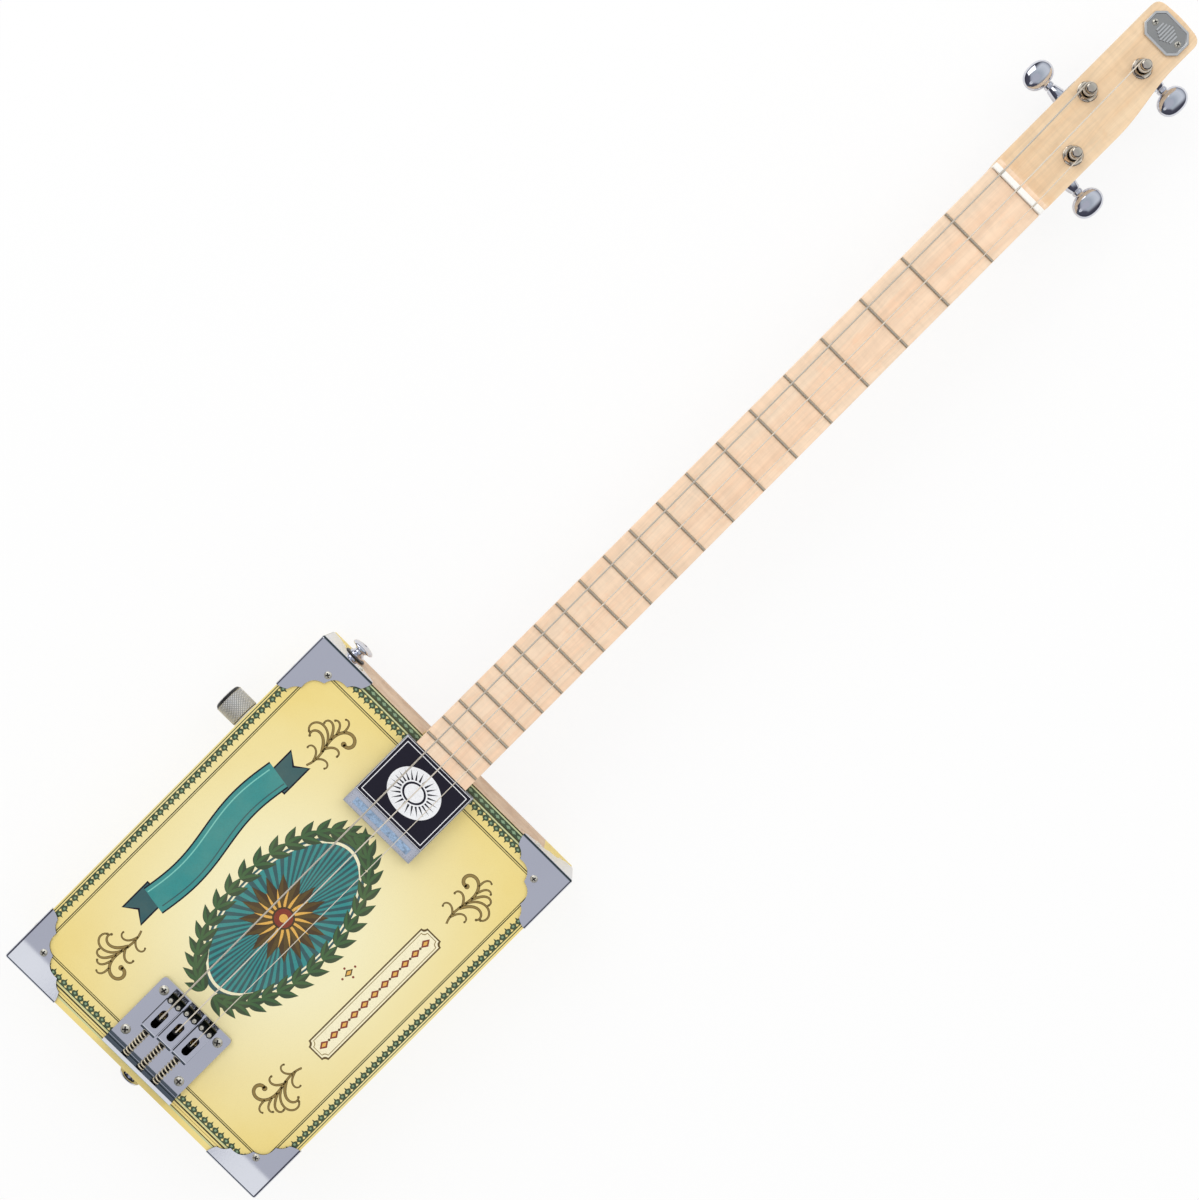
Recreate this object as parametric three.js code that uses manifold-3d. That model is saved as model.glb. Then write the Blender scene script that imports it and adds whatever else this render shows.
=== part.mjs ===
// Three-string electric cigar box guitar: a papered wooden box with metal corners, a neck that
// runs through it, three tuners, a hard-tail bridge, a flat pickup, a volume knob and a jack.
// Millimetres. The origin is the centre of the box's back, +Z comes out through the lid,
// +Y runs up the neck to the head, and the guitar lies on its back.
import * as THREE from 'three';
import { mergeVertices } from 'three/addons/utils/BufferGeometryUtils.js';
import Module from 'manifold-3d';

const wasm = await Module();
wasm.setup();

// Clearances
const fitGap = 0.3; // between a piece and the hole or seat it sits in
const glueLine = 0.1; // between two glued boards
const cutOverrun = 1; // how far a cutter reaches past the face it cuts

// Box
const boxWidth = 192;
const boxLength = 250;
const boxDepth = 47;
const wallThickness = 6;
const lidThickness = 4;
const backThickness = 4;

// Neck and head
const scaleLength = 635; // nut to the foremost place of the saddles
const neckWidthAtBox = 38;
const neckWidthAtNut = 37;
const neckThickness = 18;
const neckFlank = 4; // straight side above the rounded back
const squareShare = 0.18; // how full the back's curve is at the square ends
const roundShare = 0.85; // and along the playing length
const neckArcSteps = 12;
const heelLength = 26; // the square ends of the neck round off over this length
const heelShares = [0, 0.25, 0.5, 0.75, 1]; // where the neck's sections stand in it
const headWidth = 38.4;
const tipFromLastTuner = 34.5;
const headDrop = 5; // head face below the neck's top
const headTipWidth = 33; // across the head just below its rounded tip
const headTipCentre = -2.3; // the tip leans to the left
const headCurveLength = 46; // over which the right edge curves in
const headCurveFromTip = 23; // where that curve ends
const headCurvePullShares = [0.35, 0.3]; // how far along it each end keeps its direction
const tipCornerWidth = 8;
const tipCornerLength = 6;
const tipCrown = 1; // the rounded end rises this much between its corners
const neckRelief = 3; // the beam lies this much lower under the lid's sounding part
const reliefMargin = 12; // wood left under the pickup's and the bridge's ends

// Fretboard, frets and nut
const fretboardThickness = 6;
const fretboardLap = 4.7; // over the edge of the lid
const fretMargin = 5; // wood left behind the last fret
const fretWidth = 1.9;
const fretHeight = 1;
const fretSteps = 4;
const nutThickness = 3.4;
const nutHeight = 2.2; // above the fretboard
const nutSeatDepth = 3;
const nutLedge = 3;
const nutSlotDepth = 0.9;

// Corner protectors
const cornerLeg = 37;
const cornerSheet = 0.8;
const cornerCuspShares = [
  [1, 0], [0.935, 0.162], [0.773, 0.292], [0.492, 0.492], [0.292, 0.773], [0.162, 0.935], [0, 1],
];
const cornerBulgeShares = [0.05, -0.12, -0.22, -0.22, -0.12, 0.05]; // of the chord between two cusps
const cornerCurveSteps = 4;

// Tuners
const tunerPitch = 30;
const tunerPostX = { left: -10.4, upperRight: 1.9, lowerRight: 8.8 };
const firstTunerFromLedge = 32.5;
const postRadius = 3;
const postWaistRadius = 2.5;
const postHeight = 10; // above the head's face
const postWaistHeight = 5; // where the string winds
const postCapHeight = 2; // the plain top above the winding
const postInHousing = 6;
const tunerNutWidth = 10; // across the flats
const tunerNutHeight = 2.6;
const tunerNutSink = 0.8; // depth of the cone around its bore
const tunerNutTubeWall = 1.1;
const tunerNutTubeLength = 8;
const housingLength = 18; // along the worm shaft
const housingWidth = 20; // across it
const housingHeight = 10;
const housingCorner = 4;
const housingChamfer = 1;
const wormOffset = 6.5; // shaft's axis to the post's axis
const wormDepth = 5.5; // shaft's axis below the back of the head
const wormShaftRadius = 2;
const noseRootRadius = 4.2;
const noseTipRadius = 3;
const buttonReach = 25.5; // post's axis to the button's centre
const buttonLength = 14.4;
const buttonWidth = 19;
const buttonThickness = 8.6;
const buttonCollarRadius = 3;
const buttonCollarLength = 2.4;

// Head plate
const headPlateWidth = 26;
const headPlateHeight = 17.8;
const headPlateCut = 4.6; // its corners are cut off by so much
const headPlateThickness = 1.2;
const headPlateRim = 1.4;
const headPlateRecess = 0.5;
const headPlateFromTip = 12;
const headPlateScrewSpacing = 17.5;
const headPlateScrewRadius = 1.3;
const headPlateScrewDepth = 8;

// Bridge
const bridgeWidth = 52;
const bridgeLength = 47.7;
const bridgeSheet = 2.2;
const bridgeLipHeight = 9.5;
const bridgeBend = 3; // outside radius of the bend
const bridgeCorner = 2.2;
const bridgeToTailWall = 1.1; // the lip's back to the inside of the tail wall
const platePastSaddles = 0.8; // the plate's front edge before the scale's end
const bridgeScrewSpread = 41.4;
const bridgeScrewRows = [6.4, 36.8]; // behind the plate's front edge
const bridgeScrewRadius = 1.6;
const stringPitchAtBridge = 11.3;
const stringPitchAtNut = 12.5;
const saddleWidth = 10.4;
const saddleLength = 26;
const saddleSheet = 1.6;
const saddleCrest = 5; // behind the saddle's front
const saddleCrestHeight = 8.6; // above the bridge plate
const saddleRearHeight = 6.8;
const saddleFoot = 0.7; // bottom of its rear tab above the plate
const saddleFrontFoot = 3.4; // bottom of its curved front above the plate
const saddleBend = 2.6;
const saddleStagger = [1.4, 0.4, 0.2]; // each saddle's front behind the scale's end
const saddleForward = 2; // travel to the nut
const slotWidth = 4.6;
const slotLength = 12.6;
const slotBehindCrest = 3.6;
const intonationRadius = 1.3;
const intonationHeadRadius = 2.5; // a flat head, flush with the lip's back
const intonationHeadLength = 1.4;
const intonationReach = 4.5; // into the saddle
const intonationHeight = 3.6; // axis above the plate
const heightScrewRadius = 1.2;
const heightScrewSpread = 5.8;
const heightScrewBehindFront = 3.2;
const heightScrewProud = 0.5;
const springRadius = 1.9; // middle of the wire
const springWire = 0.8;
const springTurns = 8;
const springSteps = 8;
const springSides = 5;

// Strings, left to right
const stringDiameters = [1, 0.76, 0.5];
const stringSides = 5;
const windTurns = 2.5;
const windSteps = 16;
const windPitch = 1.45;
const ballRadius = 1.9;
const ballLength = 3;
const stringDrop = 10; // the string turns down this far behind the crest
const stringBend = 2.6;
const stringHoleRadius = 1.7; // through the neck
const plateHoleRadius = 2.3; // through the bridge plate and the lid

// Pickup
const pickupSize = 50.8;
const pickupHeight = 6.4;
const pickupWall = 1.2;
const pickupCoverLength = 41;
const pickupCoverThickness = 0.9;
const pickupCoverInset = 0.4;
const pickupCoverCorner = 1;
const strikerWidth = 41.6;
const strikerHeight = 4.2;
const strikerRelief = 0.4;
const coilWidth = 40;
const coilLength = 15;
const coilWindow = 9;
const coilHeight = 3;
const wireHoleRadius = 1.8;

// Volume control on the left wall
const knobFromNeckEdge = 66;
const knobRadius = 9;
const knobLength = 17.6;
const knobDome = 3;
const knobDomeSteps = 4;
const knobFlutes = 36;
const knobFluteDepth = 0.35;
const knobRecessRadius = 7.2;
const knobRecessDepth = 4;
const potRadius = 8;
const potLength = 9.5;
const potBushRadius = 3.9;
const potShaftRadius = 2.6;
const potShaftLength = 14;
const potLugCount = 3;
const potLugSize = 1.6;
const potLugLength = 6;
const potNutWidth = 10.5;
const potNutHeight = 2.2;

// Output jack on the right wall
const jackFromNeckEdge = 175;
const jackHeight = 21;
const jackBoreRadius = 3.35;
const jackNoseRadius = 4.8;
const jackNutWidth = 13;
const jackNutHeight = 2;
const jackHousingLength = 20;
const jackHousingWidth = 15;
const jackBoreLength = 27;

// Strap buttons
const strapFlangeRadius = 7;
const strapWaistRadius = 3.3;
const strapFootRadius = 4.8;
const strapHeight = 7.5;
const strapFlange = 2.8;
const strapFaceRadius = 3;
const strapScrewRadius = 1.7;
const strapScrewLength = 14;
const feltThickness = 1.2;
const feltRadius = 6.6;
const neckStrapFromCorner = 18.7; // along the neck side, from the left corner
const neckStrapBelowLid = 25.5;
const tailStrapBelowLid = 18.5;

// Places worked out from the sizes above
const yNeckEdge = boxLength / 2;
const yTail = -boxLength / 2;
const zLid = boxDepth;
const zWallTop = boxDepth - lidThickness - glueLine;
const zWallBottom = backThickness + glueLine;
const zNeckBottom = boxDepth - neckThickness;
const zHead = boxDepth - headDrop;
const headThickness = neckThickness - headDrop;
const zBoardBottom = boxDepth + glueLine;
const zBoardTop = boxDepth + fretboardThickness;
const yBridgeBack = yTail + wallThickness + bridgeToTailWall;
const yBridgeFront = yBridgeBack + bridgeLength;
const yLipFront = yBridgeBack + bridgeSheet;
const ySaddleLine = yBridgeFront - platePastSaddles;
const yNut = ySaddleLine + scaleLength;
const neckReach = yNut - yNeckEdge; // out of the box, to the front of the nut
const yLedge = yNut + nutThickness + fitGap + nutLedge;
const yFirstTuner = yLedge + firstTunerFromLedge;
const yHeadTip = yFirstTuner + 2 * tunerPitch + tipFromLastTuner;
const yHeadPlate = yHeadTip - headPlateFromTip;
const yBoardEnd = yNeckEdge - fretboardLap;
const zPlate = zLid + glueLine + bridgeSheet;
const zCrest = zPlate + saddleCrestHeight;
const zNutTop = zBoardTop + nutHeight;
const pickupFront = yBoardEnd - fitGap;
const zMiddle = boxDepth / 2;
const zNeckStrap = boxDepth - neckStrapBelowLid;
const zTailStrap = boxDepth - tailStrapBelowLid;

const colours = {
  boxPaper: { color: 0xe9d78a, roughness: 0.5, metalness: 0 },
  backPaper: { color: 0xdcc67a, roughness: 0.6, metalness: 0 },
  maple: { color: 0xecc9a0, roughness: 0.45, metalness: 0 },
  fretboard: { color: 0xf0cdaa, roughness: 0.4, metalness: 0 },
  bone: { color: 0xf7f4e6, roughness: 0.3, metalness: 0 },
  cornerMetal: { color: 0xb4b6c2, roughness: 0.25, metalness: 1 },
  chrome: { color: 0xc9ccd2, roughness: 0.15, metalness: 1 },
  darkSteel: { color: 0x55555a, roughness: 0.4, metalness: 1 },
  steel: { color: 0xb9b7b0, roughness: 0.3, metalness: 1 },
  pickupShell: { color: 0xc4c7d3, roughness: 0.35, metalness: 0.2 },
  pickupCover: { color: 0x1d2131, roughness: 0.4, metalness: 0 },
  copper: { color: 0xb0683a, roughness: 0.4, metalness: 1 },
  blackPlastic: { color: 0x1a1a1c, roughness: 0.5, metalness: 0 },
  felt: { color: 0x17171a, roughness: 0.95, metalness: 0 },
};
const materials = Object.fromEntries(
  Object.entries(colours).map(([name, look]) => [name, new THREE.MeshStandardMaterial(look)]),
);

// Solids

const mergeShare = 1e-5; // vertices closer than this share of the scale length are one

function solid(geometry) {
  const bare = geometry.clone();
  for (const name of Object.keys(bare.attributes)) {
    if (name !== 'position') bare.deleteAttribute(name);
  }
  const merged = mergeVertices(bare, scaleLength * mergeShare);
  const index = merged.index.array;
  const faces = [];
  for (let i = 0; i < index.length; i += 3) {
    const [a, b, c] = [index[i], index[i + 1], index[i + 2]];
    if (a !== b && b !== c && c !== a) faces.push(a, b, c);
  }
  return new wasm.Manifold(new wasm.Mesh({
    numProp: 3,
    vertProperties: Float32Array.from(merged.attributes.position.array),
    triVerts: Uint32Array.from(faces),
  }));
}

function geometryOf(body) {
  const mesh = body.getMesh();
  const geometry = new THREE.BufferGeometry();
  geometry.setAttribute('position', new THREE.BufferAttribute(mesh.vertProperties.slice(), 3));
  geometry.setIndex(new THREE.BufferAttribute(mesh.triVerts.slice(), 1));
  geometry.computeVertexNormals();
  return geometry;
}

function placed(geometry, x = 0, y = 0, z = 0) {
  return solid(geometry.clone().translate(x, y, z));
}

function block(x0, x1, y0, y1, z0, z1) {
  const geometry = new THREE.BoxGeometry(x1 - x0, y1 - y0, z1 - z0);
  return placed(geometry, (x0 + x1) / 2, (y0 + y1) / 2, (z0 + z1) / 2);
}

// A cylinder between two places on one of the axes 'x', 'y' or 'z'
function rod(axis, radius, from, to, across, sides = 16, endRadius = radius) {
  const geometry = new THREE.CylinderGeometry(endRadius, radius, to - from, sides);
  geometry.rotateY(Math.PI / sides);
  geometry.translate(0, (from + to) / 2, 0);
  if (axis === 'z') geometry.rotateX(Math.PI / 2);
  if (axis === 'x') geometry.rotateZ(-Math.PI / 2);
  const [a, b] = across;
  if (axis === 'x') geometry.translate(0, a, b);
  if (axis === 'y') geometry.translate(a, 0, b);
  if (axis === 'z') geometry.translate(a, b, 0);
  return solid(geometry);
}

// A revolved profile of [radius, height] points, its axis along +Z
function turned(profile, sides) {
  const geometry = new THREE.LatheGeometry(profile.map(([r, h]) => new THREE.Vector2(r, h)), sides);
  return solid(geometry.rotateX(Math.PI / 2));
}

function extruded(shape, depth, curveSegments = 6) {
  return new THREE.ExtrudeGeometry(shape, { depth, curveSegments, bevelEnabled: false });
}

// A side profile of [y, z] points, extruded along X between two places
function sideExtruded(profile, x0, x1) {
  const shape = new THREE.Shape(profile.map(([y, z]) => new THREE.Vector2(y, z)));
  const geometry = extruded(shape, x1 - x0);
  geometry.applyMatrix4(new THREE.Matrix4().set(0, 0, 1, x0, 1, 0, 0, 0, 0, 1, 0, 0, 0, 0, 0, 1));
  return solid(geometry);
}

// A closed body through rings of equally many points, its ends closed by fans
function lofted(rings) {
  const count = rings[0].length;
  const positions = rings.flat().flatMap((p) => [p.x, p.y, p.z]);
  const faces = [];
  for (let r = 0; r + 1 < rings.length; r += 1) {
    for (let i = 0; i < count; i += 1) {
      const a = r * count + i;
      const b = r * count + ((i + 1) % count);
      faces.push(a, b, b + count, a, b + count, a + count);
    }
  }
  const last = (rings.length - 1) * count;
  for (let i = 1; i + 1 < count; i += 1) {
    faces.push(0, i + 1, i);
    faces.push(last, last + i, last + i + 1);
  }
  const geometry = new THREE.BufferGeometry();
  geometry.setAttribute('position', new THREE.Float32BufferAttribute(positions, 3));
  geometry.setIndex(faces);
  return geometry;
}

const steepShare = 0.9; // a path this near to X starts its rings from Y instead

// A tube whose rings stand square to its path; the radius may change along it
function swept(points, radii, sides) {
  const rings = [];
  let side = null;
  points.forEach((point, i) => {
    const before = points[Math.max(i - 1, 0)];
    const after = points[Math.min(i + 1, points.length - 1)];
    const along = after.clone().sub(before).normalize();
    if (!side) side = new THREE.Vector3(...(Math.abs(along.x) < steepShare ? [1, 0, 0] : [0, 1, 0]));
    side = side.clone().addScaledVector(along, -side.dot(along)).normalize();
    const up = along.clone().cross(side);
    const ring = [];
    for (let k = 0; k < sides; k += 1) {
      const turn = (2 * Math.PI * k) / sides;
      ring.push(point.clone()
        .addScaledVector(side, radii[i] * Math.cos(turn))
        .addScaledVector(up, radii[i] * Math.sin(turn)));
    }
    rings.push(ring);
  });
  return lofted(rings);
}

// The least gap between turns of a wound wire, measured between points over half a turn apart
function leastGap(points, wireRadius, stepsPerTurn) {
  let least = Infinity;
  const apart = Math.ceil(stepsPerTurn / 2) + 1;
  for (let i = 0; i < points.length; i += 1) {
    for (let j = i + apart; j < points.length; j += 1) {
      least = Math.min(least, points[i].distanceTo(points[j]));
    }
  }
  return least - 2 * wireRadius;
}

function arcPoints(centre, radius, from, to, steps) {
  const points = [];
  for (let i = 0; i <= steps; i += 1) {
    const angle = from + ((to - from) * i) / steps;
    points.push([centre[0] + radius * Math.cos(angle), centre[1] + radius * Math.sin(angle)]);
  }
  return points;
}

// The closed outline of a bent sheet, from the path of its outer face
function sheetOutline(path, sheet) {
  const inner = path.map(([y, z], i) => {
    const [y0, z0] = path[Math.max(i - 1, 0)];
    const [y1, z1] = path[Math.min(i + 1, path.length - 1)];
    const first = Math.atan2(z - z0, y - y0);
    const second = Math.atan2(z1 - z, y1 - y);
    const from = i === 0 ? second : first;
    const to = i === path.length - 1 ? first : second;
    const middle = from + Math.atan2(Math.sin(to - from), Math.cos(to - from)) / 2;
    const reach = sheet / Math.cos((to - from) / 2);
    return [y - reach * Math.sin(middle), z + reach * Math.cos(middle)];
  });
  return [...path, ...inner.reverse()];
}

const guitar = new THREE.Group();
guitar.name = 'cigar_box_guitar';

function addMesh(parent, name, body, material) {
  const mesh = new THREE.Mesh(geometryOf(body), materials[material]);
  mesh.name = name;
  parent.add(mesh);
  return mesh;
}

function addGroup(parent, x = 0, y = 0, z = 0) {
  const group = new THREE.Group();
  group.position.set(x, y, z);
  parent.add(group);
  return group;
}

// The strings' places across the neck, left to right
const stringSlots = [-1, 0, 1];
const stringXAtNut = stringSlots.map((slot) => slot * stringPitchAtNut);
const stringXAtBridge = stringSlots.map((slot) => slot * stringPitchAtBridge);
const saddleFronts = saddleStagger.map((back) => ySaddleLine - back);
const stringDropY = saddleFronts.map((front) => front - saddleCrest - stringDrop);

// The tuners: side is +1 on the right, worm is +1 where the shaft lies towards the tip
const tuners = [
  { name: 'left', x: tunerPostX.left, row: 1, side: -1, worm: -1, string: 0, turn: -1 },
  { name: 'upper_right', x: tunerPostX.upperRight, row: 2, side: 1, worm: 1, string: 1, turn: -1 },
  { name: 'lower_right', x: tunerPostX.lowerRight, row: 0, side: 1, worm: -1, string: 2, turn: 1 },
].map((tuner) => ({ ...tuner, y: yFirstTuner + tuner.row * tunerPitch }));

const tunerHoleRadius = postRadius + fitGap + tunerNutTubeWall + fitGap;

// Box: six boards, glued and papered

function buildBox(parent) {
  const half = boxWidth / 2;
  const back = block(-half, half, yTail, yNeckEdge, 0, backThickness);
  addMesh(parent, 'back_board', back, 'backPaper');

  const notch = neckWidthAtBox / 2 + fitGap;
  const strapX = neckStrapFromCorner - half;
  const neckWall = block(-half, half, yNeckEdge - wallThickness, yNeckEdge, zWallBottom, zWallTop)
    .subtract(block(-notch, notch, yNeckEdge - wallThickness - cutOverrun, yNeckEdge + cutOverrun,
      zNeckBottom - fitGap, zWallTop + cutOverrun))
    .subtract(rod('y', strapScrewRadius + fitGap, yNeckEdge - wallThickness - cutOverrun,
      yNeckEdge + cutOverrun, [strapX, zNeckStrap]));
  addMesh(parent, 'neck_side_wall', neckWall, 'boxPaper');

  const tailWall = block(-half, half, yTail, yTail + wallThickness, zWallBottom, boxDepth)
    .subtract(rod('y', strapScrewRadius + fitGap, yTail - cutOverrun, yTail + wallThickness + cutOverrun,
      [0, zTailStrap]));
  addMesh(parent, 'tail_wall', tailWall, 'boxPaper');

  const sideEnd = yNeckEdge - wallThickness - glueLine;
  const potHole = rod('x', potBushRadius + fitGap, -half - cutOverrun, -half + wallThickness + cutOverrun,
    [yNeckEdge - knobFromNeckEdge, zMiddle]);
  const leftWall = block(-half, -half + wallThickness, -sideEnd, sideEnd, zWallBottom, zWallTop)
    .subtract(potHole);
  addMesh(parent, 'knob_side_wall', leftWall, 'boxPaper');

  const jackHole = rod('x', jackNoseRadius + fitGap, half - wallThickness - cutOverrun, half + cutOverrun,
    [yNeckEdge - jackFromNeckEdge, jackHeight]);
  const rightWall = block(half - wallThickness, half, -sideEnd, sideEnd, zWallBottom, zWallTop)
    .subtract(jackHole);
  addMesh(parent, 'jack_side_wall', rightWall, 'boxPaper');

  let lid = block(-half, half, yTail + wallThickness + fitGap, yNeckEdge, boxDepth - lidThickness, boxDepth);
  const holeFrom = boxDepth - lidThickness - cutOverrun;
  stringXAtBridge.forEach((x, i) => {
    const hole = rod('z', plateHoleRadius, holeFrom, boxDepth + cutOverrun, [x, stringDropY[i]], 12);
    lid = lid.subtract(hole);
  });
  // The pickup's wires would go down beside the neck
  const besideNeck = neckWidthAtBox / 2 + wireHoleRadius + fitGap;
  const underPickup = pickupFront - pickupSize / 2;
  const wireHole = [besideNeck, underPickup];
  lid = lid.subtract(rod('z', wireHoleRadius, holeFrom, boxDepth + cutOverrun, wireHole, 12));
  addMesh(parent, 'lid', lid, 'boxPaper');
}

// Corner protectors: three scalloped faces of thin metal, one on the lid and two on the walls

// The corner's own frame has its point at the origin and runs to +X, to +Y and down
function cornerProtector() {
  const skirt = cornerSheet + glueLine;
  const cusps = cornerCuspShares.map(([a, b]) => new THREE.Vector2(a * cornerLeg, b * cornerLeg));
  const shape = new THREE.Shape();
  shape.moveTo(-skirt, -skirt);
  shape.lineTo(cornerLeg, -skirt);
  shape.lineTo(cusps[0].x, cusps[0].y);
  cornerBulgeShares.forEach((bulge, i) => {
    const chord = cusps[i + 1].clone().sub(cusps[i]);
    const out = new THREE.Vector2(chord.y, -chord.x);
    for (let step = 1; step <= cornerCurveSteps; step += 1) {
      const share = step / cornerCurveSteps;
      const rise = 4 * bulge * share * (1 - share);
      const point = cusps[i].clone().addScaledVector(chord, share).addScaledVector(out, rise);
      shape.lineTo(point.x, point.y);
    }
  });
  shape.lineTo(-skirt, cornerLeg);
  const face = extruded(shape, cornerSheet);
  return placed(face, 0, 0, glueLine)
    .add(placed(face.clone().rotateY(Math.PI / 2), -skirt, 0, 0))
    .add(placed(face.clone().rotateX(-Math.PI / 2), 0, -skirt, 0));
}

function buildCorner(parent, name, sideX, sideY) {
  const mesh = addMesh(parent, name, flipped(cornerProtector(), sideX, sideY), 'cornerMetal');
  mesh.position.set((-sideX * boxWidth) / 2, (-sideY * boxLength) / 2, zLid);
}

// A body mirrored across X or Y where a sign is negative, with its faces still pointing out
function flipped(body, signX, signY) {
  const geometry = geometryOf(body);
  geometry.scale(signX, signY, 1);
  if (signX * signY < 0) {
    const index = geometry.index.array;
    for (let i = 0; i < index.length; i += 3) {
      [index[i], index[i + 1]] = [index[i + 1], index[i]];
    }
  }
  return solid(geometry);
}

// Neck: a beam through the box, a rounded playing length and the head, in one piece of wood

function neckSection(y) {
  const along = (y - yNeckEdge) / neckReach;
  const half = THREE.MathUtils.lerp(neckWidthAtBox, neckWidthAtNut, Math.min(along, 1)) / 2;
  const fromEnds = Math.min(y - yNeckEdge, yLedge - y) / heelLength;
  const round = THREE.MathUtils.smoothstep(fromEnds, 0, 1);
  const power = THREE.MathUtils.lerp(squareShare, roundShare, round);
  const depth = neckThickness - neckFlank;
  const ring = [new THREE.Vector3(-half, y, boxDepth), new THREE.Vector3(half, y, boxDepth)];
  for (let i = 0; i <= neckArcSteps; i += 1) {
    const angle = (Math.PI * i) / neckArcSteps;
    const x = half * Math.sign(Math.cos(angle)) * Math.abs(Math.cos(angle)) ** power;
    const z = boxDepth - neckFlank - depth * Math.sin(angle) ** power;
    ring.push(new THREE.Vector3(i * 2 === neckArcSteps ? 0 : x, y, z));
  }
  return ring;
}

function headOutline() {
  const half = headWidth / 2;
  const tipRight = headTipCentre + headTipWidth / 2;
  const curveEnd = yHeadTip - headCurveFromTip;
  const shoulder = curveEnd - headCurveLength;
  const [leaving, arriving] = headCurvePullShares.map((share) => share * headCurveLength);
  const cornerTop = yHeadTip - tipCrown;
  const cornerFoot = cornerTop - tipCornerLength;
  const shape = new THREE.Shape();
  shape.moveTo(-neckWidthAtNut / 2, yLedge - nutLedge);
  shape.lineTo(neckWidthAtNut / 2, yLedge - nutLedge);
  shape.lineTo(half, yLedge + nutLedge);
  shape.lineTo(half, shoulder);
  shape.bezierCurveTo(half, shoulder + leaving, tipRight, curveEnd - arriving, tipRight, curveEnd);
  shape.lineTo(tipRight, cornerFoot);
  shape.quadraticCurveTo(tipRight, cornerTop, tipRight - tipCornerWidth, cornerTop);
  shape.quadraticCurveTo(headTipCentre, yHeadTip + tipCrown, tipCornerWidth - half, cornerTop);
  shape.quadraticCurveTo(-half, cornerTop, -half, cornerFoot);
  shape.lineTo(-half, yLedge + nutLedge);
  shape.closePath();
  return shape;
}

function buildNeck(parent) {
  const half = neckWidthAtBox / 2;
  const zUnderLid = boxDepth - lidThickness - glueLine;
  const beamStart = yTail + wallThickness + fitGap;
  const beam = block(-half, half, beamStart, yNeckEdge + heelLength, zNeckBottom, zUnderLid);
  const relief = block(-half - cutOverrun, half + cutOverrun, yBridgeFront + reliefMargin,
    pickupFront - pickupSize - reliefMargin, zUnderLid - neckRelief, zUnderLid + cutOverrun);

  const stations = heelShares.map((share) => share * heelLength);
  const first = yNeckEdge + fitGap;
  const ys = [...stations.map((s) => first + s), ...stations.reverse().map((s) => yLedge - s)];
  const playing = solid(lofted(ys.map(neckSection)));

  const head = placed(extruded(headOutline(), neckThickness), 0, 0, zNeckBottom);
  const past = yHeadTip + cutOverrun;
  const above = boxDepth + cutOverrun;
  const fillet = arcPoints([yLedge + headDrop, boxDepth], headDrop, Math.PI, 1.5 * Math.PI, 5);
  const step = [[yLedge, above], ...fillet, [past, zHead], [past, above]];
  const reach = headWidth;
  let neck = playing.add(head.subtract(sideExtruded(step, -reach, reach))).add(beam.subtract(relief));

  tuners.forEach(({ x, y }) => {
    neck = neck.subtract(rod('z', tunerHoleRadius, zNeckBottom - cutOverrun, zHead + cutOverrun, [x, y]));
  });
  stringXAtBridge.forEach((x, i) => {
    const at = [x, stringDropY[i]];
    const seat = ballRadius + fitGap;
    neck = neck
      .subtract(rod('z', stringHoleRadius, zNeckBottom - cutOverrun, above, at, 12))
      .subtract(rod('z', seat, zNeckBottom - cutOverrun, zNeckBottom + ballLength + fitGap, at, 12));
  });
  neck = neck.subtract(rod('y', strapScrewRadius + fitGap, beamStart - cutOverrun,
    yTail - feltThickness + strapScrewLength + fitGap, [0, zTailStrap], 10));
  const screws = [-1, 1].map((side) => [headTipCentre + (side * headPlateScrewSpacing) / 2, yHeadPlate]);
  screws.forEach((at) => {
    neck = neck.subtract(rod('z', headPlateScrewRadius, zHead - headPlateScrewDepth, zHead + cutOverrun,
      at, 8));
  });
  addMesh(parent, 'neck', neck, 'maple');
}

// Fretboard: one board with its frets pressed in and a seat for the nut

function buildFretboard(parent) {
  const half = (y) => THREE.MathUtils.lerp(neckWidthAtBox, neckWidthAtNut,
    THREE.MathUtils.clamp((y - yNeckEdge) / neckReach, 0, 1)) / 2;
  const outline = [yBoardEnd, yNeckEdge, yNut, yLedge];
  const shape = new THREE.Shape([
    ...outline.map((y) => new THREE.Vector2(half(y), y)),
    ...outline.reverse().map((y) => new THREE.Vector2(-half(y), y)),
  ]);
  let board = placed(extruded(shape, zBoardTop - zBoardBottom), 0, 0, zBoardBottom);
  const reach = neckWidthAtBox;
  board = board.subtract(block(-reach, reach, yNut - fitGap, yNut + nutThickness + fitGap,
    zBoardTop - nutSeatDepth, zBoardTop + cutOverrun));
  // As many frets as the board has room for, twelve to the half of the scale
  const fretPlace = (fret) => yNut - scaleLength * (1 - 2 ** (-fret / 12));
  for (let fret = 1; fretPlace(fret) > yBoardEnd + fretMargin; fret += 1) {
    const y = fretPlace(fret);
    const root = fretHeight / 2; // the crown starts inside the board
    const profile = arcPoints([0, 0], 1, 0, Math.PI, fretSteps)
      .map(([u, v]) => [y + (u * fretWidth) / 2, zBoardTop + v * fretHeight]);
    const wire = [[y - fretWidth / 2, zBoardTop - root], [y + fretWidth / 2, zBoardTop - root], ...profile];
    board = board.add(sideExtruded(wire, -half(y), half(y)));
  }
  addMesh(parent, 'fretboard', board, 'fretboard');

  let nut = block(-neckWidthAtNut / 2, neckWidthAtNut / 2, yNut, yNut + nutThickness,
    zBoardTop - nutSeatDepth + fitGap, zNutTop);
  stringXAtNut.forEach((x, i) => {
    const slot = stringDiameters[i] / 2 + fitGap;
    nut = nut.subtract(block(x - slot, x + slot, yNut - cutOverrun, yNut + nutThickness + cutOverrun,
      zNutTop - nutSlotDepth, zNutTop + cutOverrun));
  });
  addMesh(parent, 'nut', nut, 'bone');
}

// Head plate: a bare metal plate with cut corners and a raised rim

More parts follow.
